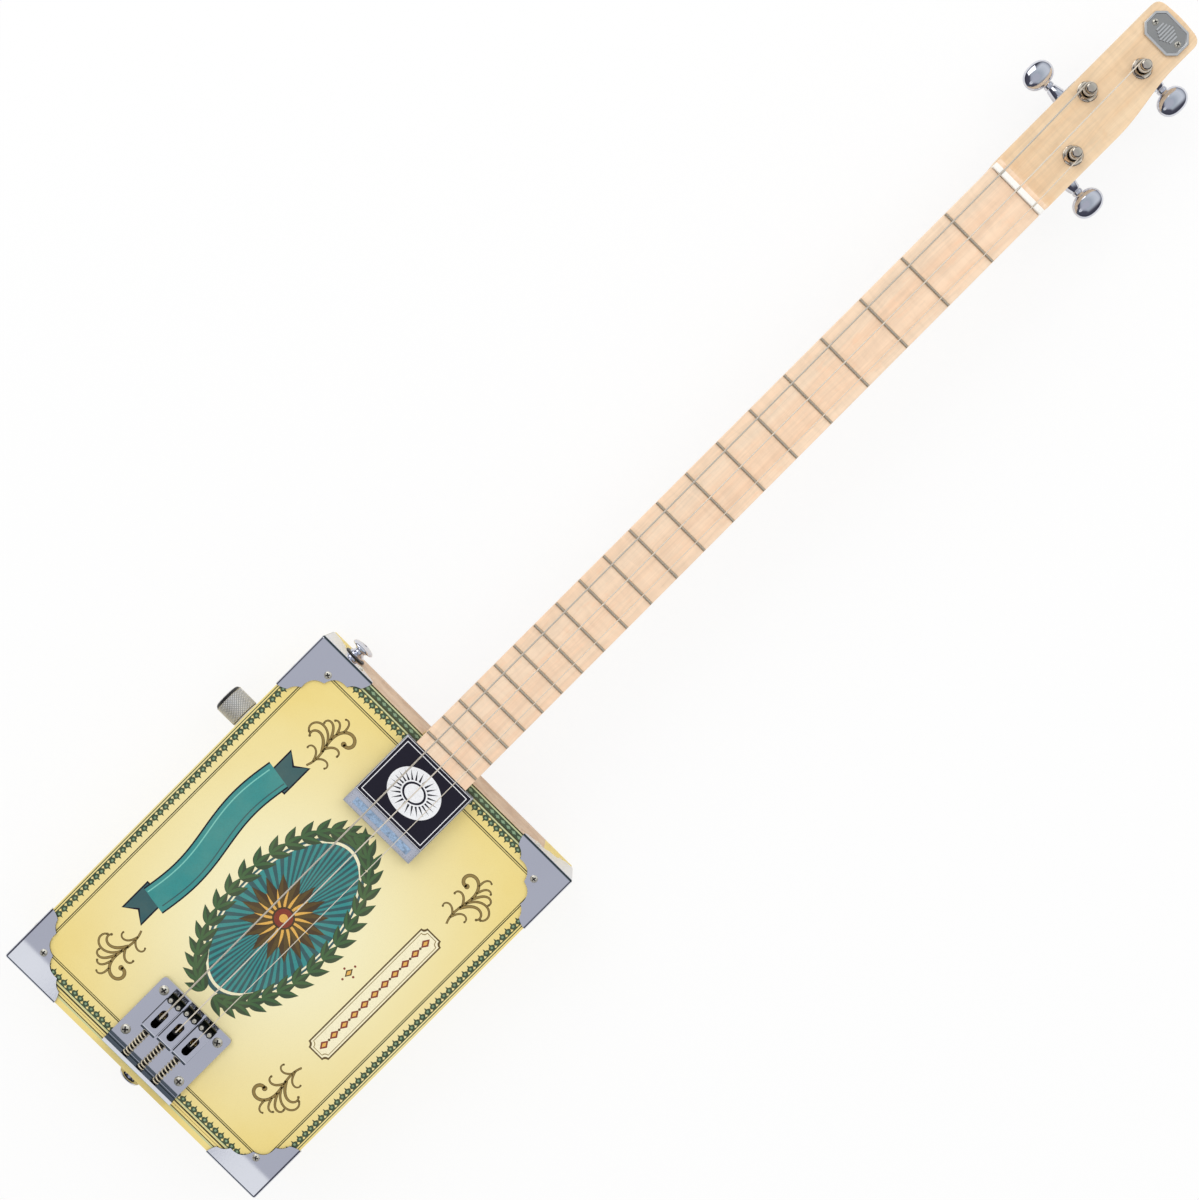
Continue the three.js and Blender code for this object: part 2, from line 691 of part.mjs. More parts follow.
function plateOutline(inset) {
  const [w, h] = [headPlateWidth / 2 - inset, headPlateHeight / 2 - inset];
  const cut = headPlateCut - inset * Math.SQRT2 * Math.tan(Math.PI / 8); // keeps the rim even
  return new THREE.Shape([
    [-w, cut - h], [cut - w, -h], [w - cut, -h], [w, cut - h],
    [w, h - cut], [w - cut, h], [cut - w, h], [-w, h - cut],
  ].map(([x, y]) => new THREE.Vector2(x, y)));
}

function buildHeadPlate(parent) {
  let plate = solid(extruded(plateOutline(0), headPlateThickness));
  const field = extruded(plateOutline(headPlateRim), headPlateThickness);
  plate = plate.subtract(placed(field, 0, 0, headPlateThickness - headPlateRecess));
  [-1, 1].forEach((side) => {
    plate = plate.subtract(rod('z', headPlateScrewRadius, -cutOverrun, headPlateThickness + cutOverrun,
      [(side * headPlateScrewSpacing) / 2, 0], 8));
  });
  const mesh = addMesh(parent, 'head_plate', plate, 'chrome');
  mesh.position.set(headTipCentre, yHeadPlate, zHead + glueLine);
}

// Tuner: a closed housing under the head, a nut on its face, the post and the button on its shaft.
// In a tuner's own frame the post stands at the origin, +X runs to the button and +Y to the shaft.

function roundedRectangle(x0, x1, y0, y1, r) {
  const shape = new THREE.Shape();
  shape.moveTo(x0 + r, y0);
  shape.lineTo(x1 - r, y0);
  shape.absarc(x1 - r, y0 + r, r, -Math.PI / 2, 0);
  shape.lineTo(x1, y1 - r);
  shape.absarc(x1 - r, y1 - r, r, 0, Math.PI / 2);
  shape.lineTo(x0 + r, y1);
  shape.absarc(x0 + r, y1 - r, r, Math.PI / 2, Math.PI);
  shape.lineTo(x0, y0 + r);
  shape.absarc(x0 + r, y0 + r, r, Math.PI, 1.5 * Math.PI);
  return shape;
}

function tunerHousing() {
  const half = housingLength / 2;
  const y0 = wormOffset / 2 - housingWidth / 2;
  const outline = roundedRectangle(-half, half, y0, y0 + housingWidth, housingCorner);
  const shell = new THREE.ExtrudeGeometry(outline, {
    depth: housingHeight - housingChamfer - fitGap,
    curveSegments: 3,
    bevelEnabled: true,
    bevelThickness: housingChamfer,
    bevelSize: housingChamfer,
    bevelOffset: -housingChamfer,
    bevelSegments: 1,
  });
  const bottom = -housingHeight;
  const lid = block(-half, half, y0, y0 + housingWidth, -fitGap, housingHeight);
  const noseEnd = buttonReach - buttonLength / 2 - buttonCollarLength - fitGap;
  const axis = [wormOffset, -wormDepth];
  return placed(shell, 0, 0, bottom + housingChamfer)
    .subtract(lid)
    .add(rod('x', noseRootRadius, half - housingChamfer * 2, noseEnd, axis, 14, noseTipRadius))
    .subtract(rod('x', wormShaftRadius + fitGap, -wormOffset, noseEnd + cutOverrun, axis, 12))
    .subtract(rod('z', postRadius + fitGap, -postInHousing - fitGap, cutOverrun, [0, 0]));
}

function tunerNut() {
  const bore = postRadius + fitGap;
  const top = headThickness + tunerNutHeight;
  const tube = bore + tunerNutTubeWall;
  const hex = tunerNutWidth / 2 / Math.cos(Math.PI / 6);
  return rod('z', hex, headThickness + glueLine, top, [0, 0], 6)
    .add(rod('z', tube, headThickness - tunerNutTubeLength, headThickness + glueLine, [0, 0]))
    .subtract(rod('z', bore, headThickness - tunerNutTubeLength - cutOverrun, top + cutOverrun, [0, 0]))
    .subtract(rod('z', bore, top - tunerNutSink, top + cutOverrun, [0, 0], 16,
      bore + tunerNutSink + cutOverrun));
}

function tunerPost() {
  const top = headThickness + postHeight;
  const waistTop = top - postCapHeight;
  const waistBottom = waistTop - postWaistHeight;
  const edge = postRadius - postWaistRadius;
  return turned([
    [0, -postInHousing], [postRadius, -postInHousing], [postRadius, waistBottom - edge],
    [postWaistRadius, waistBottom], [postWaistRadius, waistTop], [postRadius, waistTop + edge],
    [postRadius, top - edge], [postRadius - edge, top], [0, top],
  ], 16);
}

function tunerButton() {
  const ball = new THREE.SphereGeometry(1, 16, 10);
  ball.scale(buttonLength / 2, buttonWidth / 2, buttonThickness / 2);
  const inner = buttonReach - buttonLength / 2;
  const axis = [wormOffset, -wormDepth];
  return placed(ball, buttonReach, wormOffset, -wormDepth)
    .add(rod('x', buttonCollarRadius, inner - buttonCollarLength, inner + buttonCollarLength, axis, 12))
    .add(rod('x', wormShaftRadius, fitGap - wormOffset, buttonReach, axis, 12));
}

function buildTuners(parent) {
  tuners.forEach(({ name, x, y, side, worm }) => {
    const group = addGroup(parent, x, y, zNeckBottom);
    addMesh(group, `tuner_housing_${name}`, flipped(tunerHousing(), side, worm), 'chrome');
    addMesh(group, `tuner_nut_${name}`, tunerNut(), 'chrome');
    addMesh(group, `tuner_post_${name}`, tunerPost(), 'chrome');
    addMesh(group, `tuner_button_${name}`, flipped(tunerButton(), side, worm), 'chrome');
  });
}

// Bridge: a bent plate with a lip, and for each string a bent saddle on two height screws,
// an intonation screw through the lip and a spring between the lip and the saddle

function bridgePlate() {
  const zTop = zPlate;
  const zBottom = zTop - bridgeSheet;
  const bendCentre = [yBridgeBack + bridgeBend, zBottom + bridgeBend];
  const bend = arcPoints(bendCentre, bridgeBend, -Math.PI / 2, -Math.PI, 4);
  const outer = [[yBridgeFront, zBottom], ...bend, [yBridgeBack, zBottom + bridgeLipHeight]];
  const outline = sheetOutline(outer, -bridgeSheet);
  const half = bridgeWidth / 2;
  let plate = sideExtruded(outline, -half, half);
  [-1, 1].forEach((side) => {
    const chip = new THREE.Shape();
    chip.moveTo(side * (half + cutOverrun), yBridgeFront + cutOverrun);
    chip.lineTo(side * (half + cutOverrun), yBridgeFront - bridgeCorner);
    chip.lineTo(side * half, yBridgeFront - bridgeCorner);
    chip.quadraticCurveTo(side * half, yBridgeFront, side * (half - bridgeCorner), yBridgeFront);
    chip.lineTo(side * (half - bridgeCorner), yBridgeFront + cutOverrun);
    chip.closePath();
    const cutter = extruded(chip, bridgeSheet + 2 * cutOverrun, 3);
    plate = plate.subtract(placed(cutter, 0, 0, zBottom - cutOverrun));
    bridgeScrewRows.forEach((row) => {
      plate = plate.subtract(rod('z', bridgeScrewRadius, zBottom - cutOverrun, zTop + cutOverrun,
        [(side * bridgeScrewSpread) / 2, yBridgeFront - row], 10));
    });
  });
  stringXAtBridge.forEach((x, i) => {
    plate = plate
      .subtract(rod('z', plateHoleRadius, zBottom - cutOverrun, zTop + cutOverrun, [x, stringDropY[i]], 12))
      .subtract(rod('y', intonationRadius + fitGap, yBridgeBack - cutOverrun, yLipFront + cutOverrun,
        [x, zTop + intonationHeight], 12))
      .subtract(rod('y', intonationHeadRadius + fitGap, yBridgeBack, yBridgeBack + intonationHeadLength,
        [x, zTop + intonationHeight], 12, intonationRadius + fitGap));
  });
  return plate;
}

// In a saddle's own frame its front is at y = 0 and the bridge plate at z = 0
function saddle() {
  const rear = -saddleLength;
  const crest = -saddleCrest;
  const nose = arcPoints([crest, saddleCrestHeight - saddleCrest], saddleCrest, Math.PI / 2, 0, 5)
    .map(([y, z]) => [y, Math.max(z, saddleFrontFoot)]);
  const rearCentre = [rear + saddleBend, saddleRearHeight - saddleBend];
  const rearBend = arcPoints(rearCentre, saddleBend, Math.PI, Math.PI / 2, 3);
  const outer = [[rear, saddleFoot], ...rearBend, ...nose];
  const half = saddleWidth / 2;
  let body = sideExtruded(sheetOutline(outer, -saddleSheet), -half, half);
  const slotFront = crest - slotBehindCrest;
  const slotRear = slotFront - slotLength;
  const slot = roundedRectangle(-slotWidth / 2, slotWidth / 2, slotRear, slotFront, slotWidth / 2 - glueLine);
  body = body.subtract(placed(extruded(slot, saddleCrestHeight, 3), 0, 0, saddleSheet));
  body = body.subtract(rod('y', intonationRadius + fitGap, rear - cutOverrun, rear + saddleSheet + cutOverrun,
    [0, intonationHeight], 12));
  [-1, 1].forEach((side) => {
    body = body.subtract(rod('z', heightScrewRadius + fitGap, 0, saddleCrestHeight + cutOverrun,
      [(side * heightScrewSpread) / 2, -heightScrewBehindFront], 10));
  });
  return body;
}

function springPath(from, to) {
  const points = [];
  const length = to - from - 2 * (springWire + fitGap);
  points.push(new THREE.Vector3(springRadius, from + fitGap, 0));
  const steps = springTurns * springSteps;
  for (let i = 0; i <= steps; i += 1) {
    const turn = (2 * Math.PI * i) / springSteps;
    const y = from + fitGap + springWire + (length * i) / steps;
    points.push(new THREE.Vector3(springRadius * Math.cos(turn), y, springRadius * Math.sin(turn)));
  }
  points.push(new THREE.Vector3(springRadius, to - fitGap, 0));
  return points;
}

function buildBridge(parent) {
  addMesh(parent, 'bridge_plate', bridgePlate(), 'chrome');
  stringXAtBridge.forEach((x, i) => {
    const number = i + 1;
    const unit = addGroup(parent, x, saddleFronts[i], zPlate);
    addMesh(unit, `saddle_${number}`, saddle(), 'chrome');

    const screw = rod('z', heightScrewRadius, glueLine, saddleCrestHeight - heightScrewProud, [0, 0], 10)
      .subtract(rod('z', heightScrewRadius / 2, saddleCrestHeight - 3 * heightScrewProud,
        saddleCrestHeight + cutOverrun, [0, 0], 6));
    [-1, 1].forEach((side, k) => {
      const mesh = addMesh(unit, `height_screw_${2 * i + k + 1}`, screw, 'darkSteel');
      mesh.position.set((side * heightScrewSpread) / 2, -heightScrewBehindFront, 0);
    });

    const lipBack = yBridgeBack - saddleFronts[i];
    const axis = [0, intonationHeight];
    const shank = rod('y', intonationRadius, lipBack, intonationReach - saddleLength, axis, 12);
    const headEnd = lipBack + intonationHeadLength;
    const head = rod('y', intonationHeadRadius, lipBack, headEnd, axis, 12, intonationRadius);
    addMesh(unit, `intonation_screw_${number}`, shank.add(head), 'steel');

    const path = springPath(yLipFront - saddleFronts[i], -saddleLength);
    const radii = path.map(() => springWire / 2);
    const spring = placed(swept(path, radii, springSides), 0, 0, intonationHeight);
    addMesh(unit, `intonation_spring_${number}`, spring, 'steel');
    const gap = leastGap(path, springWire / 2, springSteps);
    console.log(`spring ${number}: least gap between turns ${gap.toFixed(2)} mm`);
  });
}

// Strings: each one tube from its ball under the neck, over the saddle and the nut, to its post

function stringPath(i) {
  const tuner = tuners.find(({ string }) => string === i);
  const radius = stringDiameters[i] / 2;
  const x = stringXAtBridge[i];
  const drop = stringDropY[i];
  const zRun = zCrest + fitGap + radius;
  const ball = [0, ballLength].map((up) => new THREE.Vector3(x, drop, zNeckBottom + up));
  const points = [...ball, new THREE.Vector3(x, drop, zRun - stringBend)];
  arcPoints([stringBend, -stringBend], stringBend, Math.PI, Math.PI / 2, 4).slice(1)
    .forEach(([along, up]) => points.push(new THREE.Vector3(x, drop + along, zRun + up)));
  points.push(new THREE.Vector3(x, saddleFronts[i] + saddleForward, zRun));
  const zNut = zNutTop - nutSlotDepth + fitGap + radius;
  [0, nutThickness].forEach((y) => points.push(new THREE.Vector3(stringXAtNut[i], yNut + y, zNut)));

  // The winding: it meets the post square to the string's last straight stretch
  const wind = postWaistRadius + fitGap + radius;
  const zWind = zHead + postHeight - postCapHeight - radius;
  const dx = tuner.x - stringXAtNut[i];
  const dy = tuner.y - yNut - nutThickness;
  const distance = Math.hypot(dx, dy);
  const heading = Math.atan2(dy, dx);
  const start = heading + tuner.turn * (Math.PI / 2 - Math.asin(wind / distance)) + Math.PI;
  const windings = [];
  for (let step = 0; step <= windTurns * windSteps; step += 1) {
    const turn = start + (tuner.turn * 2 * Math.PI * step) / windSteps;
    windings.push(new THREE.Vector3(tuner.x + wind * Math.cos(turn), tuner.y + wind * Math.sin(turn),
      zWind - (windPitch * step) / windSteps));
  }
  const gap = leastGap(windings, radius, windSteps);
  console.log(`string ${i + 1}: least gap between windings ${gap.toFixed(2)} mm`);
  points.push(...windings);
  return { points, radii: points.map((_, k) => (k < ball.length ? ballRadius : radius)) };
}

function buildStrings(parent) {
  stringDiameters.forEach((_, i) => {
    const { points, radii } = stringPath(i);
    // The ball ends in a flat shoulder, where the wire comes out of it
    points.splice(2, 0, points[1].clone().setZ(points[1].z + glueLine));
    radii.splice(2, 0, stringDiameters[i] / 2);
    addMesh(parent, `string_${i + 1}`, solid(swept(points, radii, stringSides)), 'steel');
  });
}

// Pickup: a flat shell with its coil inside and a folded cover over the front of it

function buildPickup(parent) {
  const half = pickupSize / 2;
  const back = pickupFront - pickupSize;
  const z0 = zLid + glueLine;
  const top = z0 + pickupHeight - pickupCoverThickness;
  const inner = half - pickupWall;
  const strikerHalf = strikerWidth / 2;
  const strip = pickupSize - pickupCoverLength;
  const striker = back + (strip - strikerHeight) / 2;
  const shell = block(-half, half, back, pickupFront, z0, top)
    .subtract(block(-inner, inner, back + pickupWall, pickupFront - pickupWall,
      z0 - cutOverrun, top - pickupWall))
    .add(block(-strikerHalf, strikerHalf, striker, striker + strikerHeight,
      top - glueLine, top + strikerRelief));
  addMesh(parent, 'pickup_case', shell, 'pickupShell');

  const inset = pickupCoverInset;
  const cover = extruded(roundedRectangle(-half + inset, half - inset, pickupFront - pickupCoverLength,
    pickupFront, pickupCoverCorner), pickupCoverThickness - glueLine, 2);
  addMesh(parent, 'pickup_cover', placed(cover, 0, 0, top + glueLine), 'pickupCover');

  const middle = (back + pickupFront) / 2;
  const coilTop = top - pickupWall - fitGap;
  const slot = (coilWidth - coilLength + coilWindow) / 2;
  const coil = block(-coilWidth / 2, coilWidth / 2, middle - coilLength / 2, middle + coilLength / 2,
    coilTop - coilHeight, coilTop)
    .subtract(block(-slot, slot, middle - coilWindow / 2, middle + coilWindow / 2,
      coilTop - coilHeight - cutOverrun, coilTop + cutOverrun));
  addMesh(parent, 'pickup_coil', coil, 'copper');
}

// Volume control: the pot inside the wall, its nut and its knurled knob outside

function buildVolume(parent) {
  const group = addGroup(parent, -boxWidth / 2, yNeckEdge - knobFromNeckEdge, zMiddle);
  // Here the group's X = 0 is the outer face of the wall, and -X leads away from the box
  const inside = wallThickness + glueLine;
  const nutEnd = -(potNutHeight + 2 * glueLine);
  let pot = rod('x', potRadius, inside, inside + potLength, [0, 0], 24)
    .add(rod('x', potBushRadius, nutEnd - cutOverrun, inside + cutOverrun, [0, 0]))
    .subtract(rod('x', potShaftRadius + fitGap, nutEnd - 2 * cutOverrun, inside, [0, 0], 14));
  for (let i = 0; i < potLugCount; i += 1) {
    const y = (i - (potLugCount - 1) / 2) * 2 * potLugSize;
    pot = pot.add(block(inside + potLugSize, inside + 2 * potLugSize, y - potLugSize / 2, y + potLugSize / 2,
      -potRadius - potLugLength, -potRadius / 2));
  }
  addMesh(group, 'volume_pot', pot, 'steel');

  const nutRadius = potNutWidth / 2 / Math.cos(Math.PI / 6);
  const nut = rod('x', nutRadius, nutEnd + glueLine, -glueLine, [0, 0], 6)
    .subtract(rod('x', potBushRadius + fitGap, nutEnd - cutOverrun, cutOverrun, [0, 0]));
  addMesh(group, 'pot_nut', nut, 'steel');

  const shaftEnd = inside - fitGap;
  const shaft = rod('x', potShaftRadius, shaftEnd - potShaftLength, shaftEnd, [0, 0], 14);
  addMesh(group, 'pot_shaft', shaft, 'steel');
  addMesh(group, 'volume_knob', knob(shaftEnd - potShaftLength), 'chrome');
}

// The knob: a fluted drum with a domed end, hollowed for the nut and bored for the shaft
function knob(shaftTip) {
  const count = knobFlutes * 2;
  const ring = (radius, x, fluted) => {
    const points = [];
    for (let i = 0; i < count; i += 1) {
      const turn = (2 * Math.PI * i) / count;
      const r = radius - (fluted && i % 2 ? knobFluteDepth : 0);
      points.push(new THREE.Vector3(x, r * Math.cos(turn), r * Math.sin(turn)));
    }
    return points;
  };
  const base = -fitGap;
  const end = base - knobLength;
  const shoulder = end + knobDome;
  const dome = [];
  for (let step = 1; step <= knobDomeSteps; step += 1) {
    const rise = (Math.PI / 2) * (1 - step / (knobDomeSteps + 1));
    const radius = (knobRadius - knobFluteDepth) * Math.cos(rise);
    dome.push(ring(radius, shoulder - knobDome * Math.sin(rise), false));
  }
  const drum = solid(lofted([
    ...dome,
    ring(knobRadius - knobFluteDepth, shoulder, false),
    ring(knobRadius, shoulder + knobFluteDepth, true),
    ring(knobRadius, base - knobFluteDepth, true),
    ring(knobRadius - knobFluteDepth, base, false),
  ]));
  return drum
    .subtract(rod('x', knobRecessRadius, base - knobRecessDepth, base + cutOverrun, [0, 0], 20))
    .subtract(rod('x', potShaftRadius + fitGap, shaftTip - fitGap, base, [0, 0], 14));
}

// Output jack: its housing inside the wall, a threaded nose through it and a nut outside

function buildJack(parent) {
  const group = addGroup(parent, boxWidth / 2, yNeckEdge - jackFromNeckEdge, jackHeight);
  const inside = -wallThickness - glueLine;
  const noseEnd = jackNutHeight + glueLine;
  const half = jackHousingWidth / 2;
  const body = block(inside - jackHousingLength, inside, -half, half, -half, half)
    .add(rod('x', jackNoseRadius, inside - cutOverrun, noseEnd, [0, 0]))
    .subtract(rod('x', jackBoreRadius, noseEnd - jackBoreLength, noseEnd + cutOverrun, [0, 0]));
  addMesh(group, 'output_jack', body, 'blackPlastic');

  const nutRadius = jackNutWidth / 2 / Math.cos(Math.PI / 6);
  const nut = rod('x', nutRadius, glueLine, noseEnd, [0, 0], 6)
    .subtract(rod('x', jackNoseRadius + fitGap, -cutOverrun, noseEnd + cutOverrun, [0, 0]));
  addMesh(group, 'jack_nut', nut, 'chrome');
}

// Strap buttons: a flanged knob and its screw, on a felt washer

function strapButton() {
  const foot = strapHeight / 4;
  const flangeStart = strapHeight - strapFlange;
  const shoulder = (strapFlangeRadius + strapFaceRadius) / 2;
  const tip = strapScrewRadius;
  return turned([
    [0, -strapScrewLength], [tip, tip - strapScrewLength], [strapScrewRadius, 0],
    [strapFootRadius, 0], [strapFootRadius, foot / 2], [strapWaistRadius, foot],
    [strapWaistRadius, flangeStart - foot / 2], [strapFlangeRadius, flangeStart],
    [strapFlangeRadius, strapHeight - strapFlange / 2], [shoulder, strapHeight - foot / 4],
    [strapFaceRadius, strapHeight], [0, strapHeight],
  ], 20);
}

function feltWasher() {
  const hole = strapScrewRadius + fitGap;
  return turned([
    [hole, 0], [feltRadius, 0], [feltRadius, feltThickness], [hole, feltThickness], [hole, 0],
  ], 20);
}

function buildStrapButtons(parent) {
  const places = [
    {
      name: 'neck', x: neckStrapFromCorner - boxWidth / 2, y: yNeckEdge, z: zNeckStrap,
      turn: -Math.PI / 2,
    },
    { name: 'tail', x: 0, y: yTail, z: zTailStrap, turn: Math.PI / 2 },
  ];
  places.forEach(({ name, x, y, z, turn }) => {
    const group = addGroup(parent, x, y, z);
    group.rotation.x = turn;
    const felt = addMesh(group, `felt_washer_${name}`, feltWasher(), 'felt');
    felt.position.z = fitGap;
    const button = addMesh(group, `strap_button_${name}`, strapButton(), 'chrome');
    button.position.z = feltThickness + 2 * fitGap;
  });
}

buildBox(guitar);
buildCorner(guitar, 'corner_neck_left', 1, -1);
buildCorner(guitar, 'corner_neck_right', -1, -1);
buildCorner(guitar, 'corner_tail_left', 1, 1);
buildCorner(guitar, 'corner_tail_right', -1, 1);
buildNeck(guitar);
buildFretboard(guitar);
buildHeadPlate(guitar);
buildTuners(guitar);
buildBridge(guitar);
buildStrings(guitar);
buildPickup(guitar);
buildVolume(guitar);
buildJack(guitar);
buildStrapButtons(guitar);

export default guitar;
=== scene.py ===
from math import asin, atan2, copysign, cos, degrees, hypot, pi, radians, sin, sqrt, tan

import bmesh
import bpy
from mathutils import Matrix, Vector


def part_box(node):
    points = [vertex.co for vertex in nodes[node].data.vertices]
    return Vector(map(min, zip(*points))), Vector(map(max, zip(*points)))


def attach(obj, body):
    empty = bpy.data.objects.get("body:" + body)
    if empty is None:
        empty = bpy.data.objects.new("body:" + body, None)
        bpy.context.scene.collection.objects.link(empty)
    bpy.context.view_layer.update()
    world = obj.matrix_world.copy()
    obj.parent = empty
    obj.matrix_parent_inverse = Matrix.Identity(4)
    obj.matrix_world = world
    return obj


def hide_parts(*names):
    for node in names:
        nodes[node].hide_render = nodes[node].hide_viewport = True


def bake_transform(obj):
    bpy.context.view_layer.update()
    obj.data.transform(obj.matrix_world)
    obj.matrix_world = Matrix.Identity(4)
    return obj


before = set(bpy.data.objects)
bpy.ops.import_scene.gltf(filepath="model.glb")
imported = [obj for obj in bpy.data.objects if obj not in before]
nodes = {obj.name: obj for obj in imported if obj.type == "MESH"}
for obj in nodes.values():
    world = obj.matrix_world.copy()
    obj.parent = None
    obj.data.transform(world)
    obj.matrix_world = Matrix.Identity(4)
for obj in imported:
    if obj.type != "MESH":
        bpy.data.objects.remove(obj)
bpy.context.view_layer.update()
mainBody = "guitar"
tau = 2 * pi
tiny = 1e-6  # a thousandth of a millimetre
upwards = (0, 0, 1)
headwards = (0, 1, 0)
rightwards = (1, 0, 0)
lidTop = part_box("lid")[1].z
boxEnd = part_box("back_board")[1].y  # where the neck leaves the box


# Colours and nodes


def colour(red, green, blue):
    def linear(value):
        share = value / 255
        return share / 12.92 if share <= 0.04045 else ((share + 0.055) / 1.055) ** 2.4

    return (linear(red), linear(green), linear(blue), 1.0)


palette = {name: colour(*shade) for name, shade in {
    "paper": (240, 223, 153), "paperEdge": (235, 208, 118), "paperPaleMiddle": (244, 235, 190),
    "paperTan": (232, 208, 180), "green": (34, 68, 50), "darkGreen": (34, 42, 16),
    "olive": (84, 80, 30), "paleGreen": (196, 208, 160), "greenMid": (48, 96, 58),
    "greenLight": (126, 158, 128), "teal": (22, 140, 142), "tealDark": (14, 84, 96),
    "tealLight": (118, 200, 190), "brown": (84, 62, 26), "brownLight": (140, 116, 60),
    "gold": (232, 178, 84), "darkRed": (132, 34, 30), "cream": (248, 240, 206),
    "umber": (62, 38, 24), "navy": (22, 18, 38), "white": (244, 245, 248),
    "striker": (150, 176, 206), "maple": (250, 225, 190), "mapleDark": (234, 194, 148),
    "fretboard": (255, 232, 204), "fretboardDark": (251, 206, 168), "bareWood": (206, 172, 140),
    "chrome": (222, 224, 232), "nickel": (206, 204, 204), "pewter": (234, 233, 230),
    "pewterCast": (188, 187, 183), "tunerMetal": (224, 214, 198), "spring": (240, 228, 200),
    "screw": (238, 234, 220), "knob": (240, 240, 240), "fretWire": (210, 196, 174),
    "darkSteel": (70, 68, 66), "string": (236, 226, 210), "bone": (252, 250, 244),
    "shell": (204, 208, 220), "black": (20, 20, 22), "copper": (176, 104, 58),
}.items()}


def grey(value):
    return (value, value, value, 1.0)


def scaled(shade, share, lift=0.0):
    return tuple(channel * share + lift for channel in shade[:3]) + (1.0,)


def plug(tree, socket, value):
    # A socket takes another node's output or a plain value
    if isinstance(value, bpy.types.NodeSocket):
        tree.links.new(value, socket)
    else:
        socket.default_value = value


def addNode(tree, kind, inputs=None, **settings):
    node = tree.nodes.new(kind)
    for name, value in settings.items():
        setattr(node, name, value)
    for key, value in (inputs or {}).items():
        plug(tree, node.inputs[key], value)
    return node


def rampNode(tree, factor, stops):
    node = addNode(tree, "ShaderNodeValToRGB", {"Fac": factor})
    ramp = node.color_ramp
    while len(ramp.elements) < len(stops):
        ramp.elements.new(0.5)
    for element, (place, shade) in zip(ramp.elements, stops):
        element.position = place
        element.color = shade if len(shade) == 4 else (*shade, 1.0)
    return node.outputs["Color"]


def greyRamp(tree, factor, *stops):
    return rampNode(tree, factor, [(place, grey(value)) for place, value in stops])


def mixColour(tree, factor, first, second, blend="MIX"):
    inputs = {0: factor, 6: first, 7: second}
    return addNode(tree, "ShaderNodeMix", inputs, data_type="RGBA", blend_type=blend).outputs[2]


def darken(tree, factor, tint, shade):
    return mixColour(tree, factor, tint, shade, "MULTIPLY")


def mathNode(tree, operation, first, second=0.0):
    return addNode(tree, "ShaderNodeMath", {0: first, 1: second}, operation=operation).outputs[0]


def times(tree, first, second):
    return mathNode(tree, "MULTIPLY", first, second)


def joined(tree, **parts):
    return addNode(tree, "ShaderNodeCombineXYZ", parts).outputs[0]


def vectorMath(tree, operation, first, second=(0, 0, 0), output="Vector"):
    node = addNode(tree, "ShaderNodeVectorMath", {0: first, 1: second}, operation=operation)
    return node.outputs[output]


def ramped(tree, value, start, end, smooth=False):
    # 0 at the start and 1 at the end
    return addNode(tree, "ShaderNodeMapRange", {"Value": value, "From Min": start, "From Max": end},
                   interpolation_type="SMOOTHSTEP" if smooth else "LINEAR").outputs["Result"]


def spread(tree, value, low, high):
    return addNode(tree, "ShaderNodeMapRange", {"Value": value, "To Min": low, "To Max": high}).outputs["Result"]


def objectPlace(tree):
    return addNode(tree, "ShaderNodeTexCoord").outputs["Object"]


def split(tree, vector):
    return addNode(tree, "ShaderNodeSeparateXYZ", {0: vector}).outputs


def noise(tree, place, stretch, detail, **more):
    mapped = addNode(tree, "ShaderNodeMapping", {"Vector": place, "Scale": stretch}).outputs[0]
    inputs = {"Vector": mapped, "Scale": 1.0, "Detail": detail, **more}
    return addNode(tree, "ShaderNodeTexNoise", inputs).outputs["Fac"]


# One group gives every finish its small unevenness: fine grain and broad mottling


def makeUnevenness():
    group = bpy.data.node_groups.new("unevenness", "ShaderNodeTree")
    face = group.interface
    for name, value in (("Fine Scale", 900.0), ("Broad Scale", 30.0), ("Stretch", 1.0)):
        face.new_socket(name, in_out="INPUT", socket_type="NodeSocketFloat").default_value = value
    for name in ("Fine", "Broad"):
        face.new_socket(name, in_out="OUTPUT", socket_type="NodeSocketFloat")
    entry = group.nodes.new("NodeGroupInput")
    leave = group.nodes.new("NodeGroupOutput")
    inverse = mathNode(group, "DIVIDE", 1.0, entry.outputs["Stretch"])
    place = vectorMath(group, "MULTIPLY", objectPlace(group), joined(group, X=1.0, Y=inverse, Z=1.0))
    for name in ("Fine", "Broad"):
        grain = addNode(group, "ShaderNodeTexNoise", {
            "Vector": place, "Scale": entry.outputs[name + " Scale"], "Detail": 4.0, "Roughness": 0.55})
        group.links.new(grain.outputs["Fac"], leave.inputs[name])
    return group


unevenness = makeUnevenness()


def newMaterial(name):
    material = bpy.data.materials.new(name)
    material.use_nodes = True
    return material, material.node_tree


def startMaterial(name, fineScale, broadScale, stretch=1.0):
    # The group's two masks come with a new material and its node tree
    material, tree = newMaterial(name)
    grain = addNode(tree, "ShaderNodeGroup", node_tree=unevenness)
    for key, value in (("Fine Scale", fineScale), ("Broad Scale", broadScale), ("Stretch", stretch)):
        grain.inputs[key].default_value = value
    return material, tree, grain.outputs["Fine"], grain.outputs["Broad"]


def finishSurface(tree, baseColour, roughness, height=None, bumpDepth=0.0, own=None):
    # own holds plain values for the shader's other sockets
    shader = tree.nodes["Principled BSDF"]
    for key, value in {"Base Color": baseColour, "Roughness": roughness, **(own or {})}.items():
        plug(tree, shader.inputs[key], value)
    if height is not None:
        bump = addNode(tree, "ShaderNodeBump", {"Strength": 0.5, "Distance": bumpDepth, "Height": height})
        tree.links.new(bump.outputs["Normal"], shader.inputs["Normal"])
    return shader


# Printed matter: paper, and the inks on it


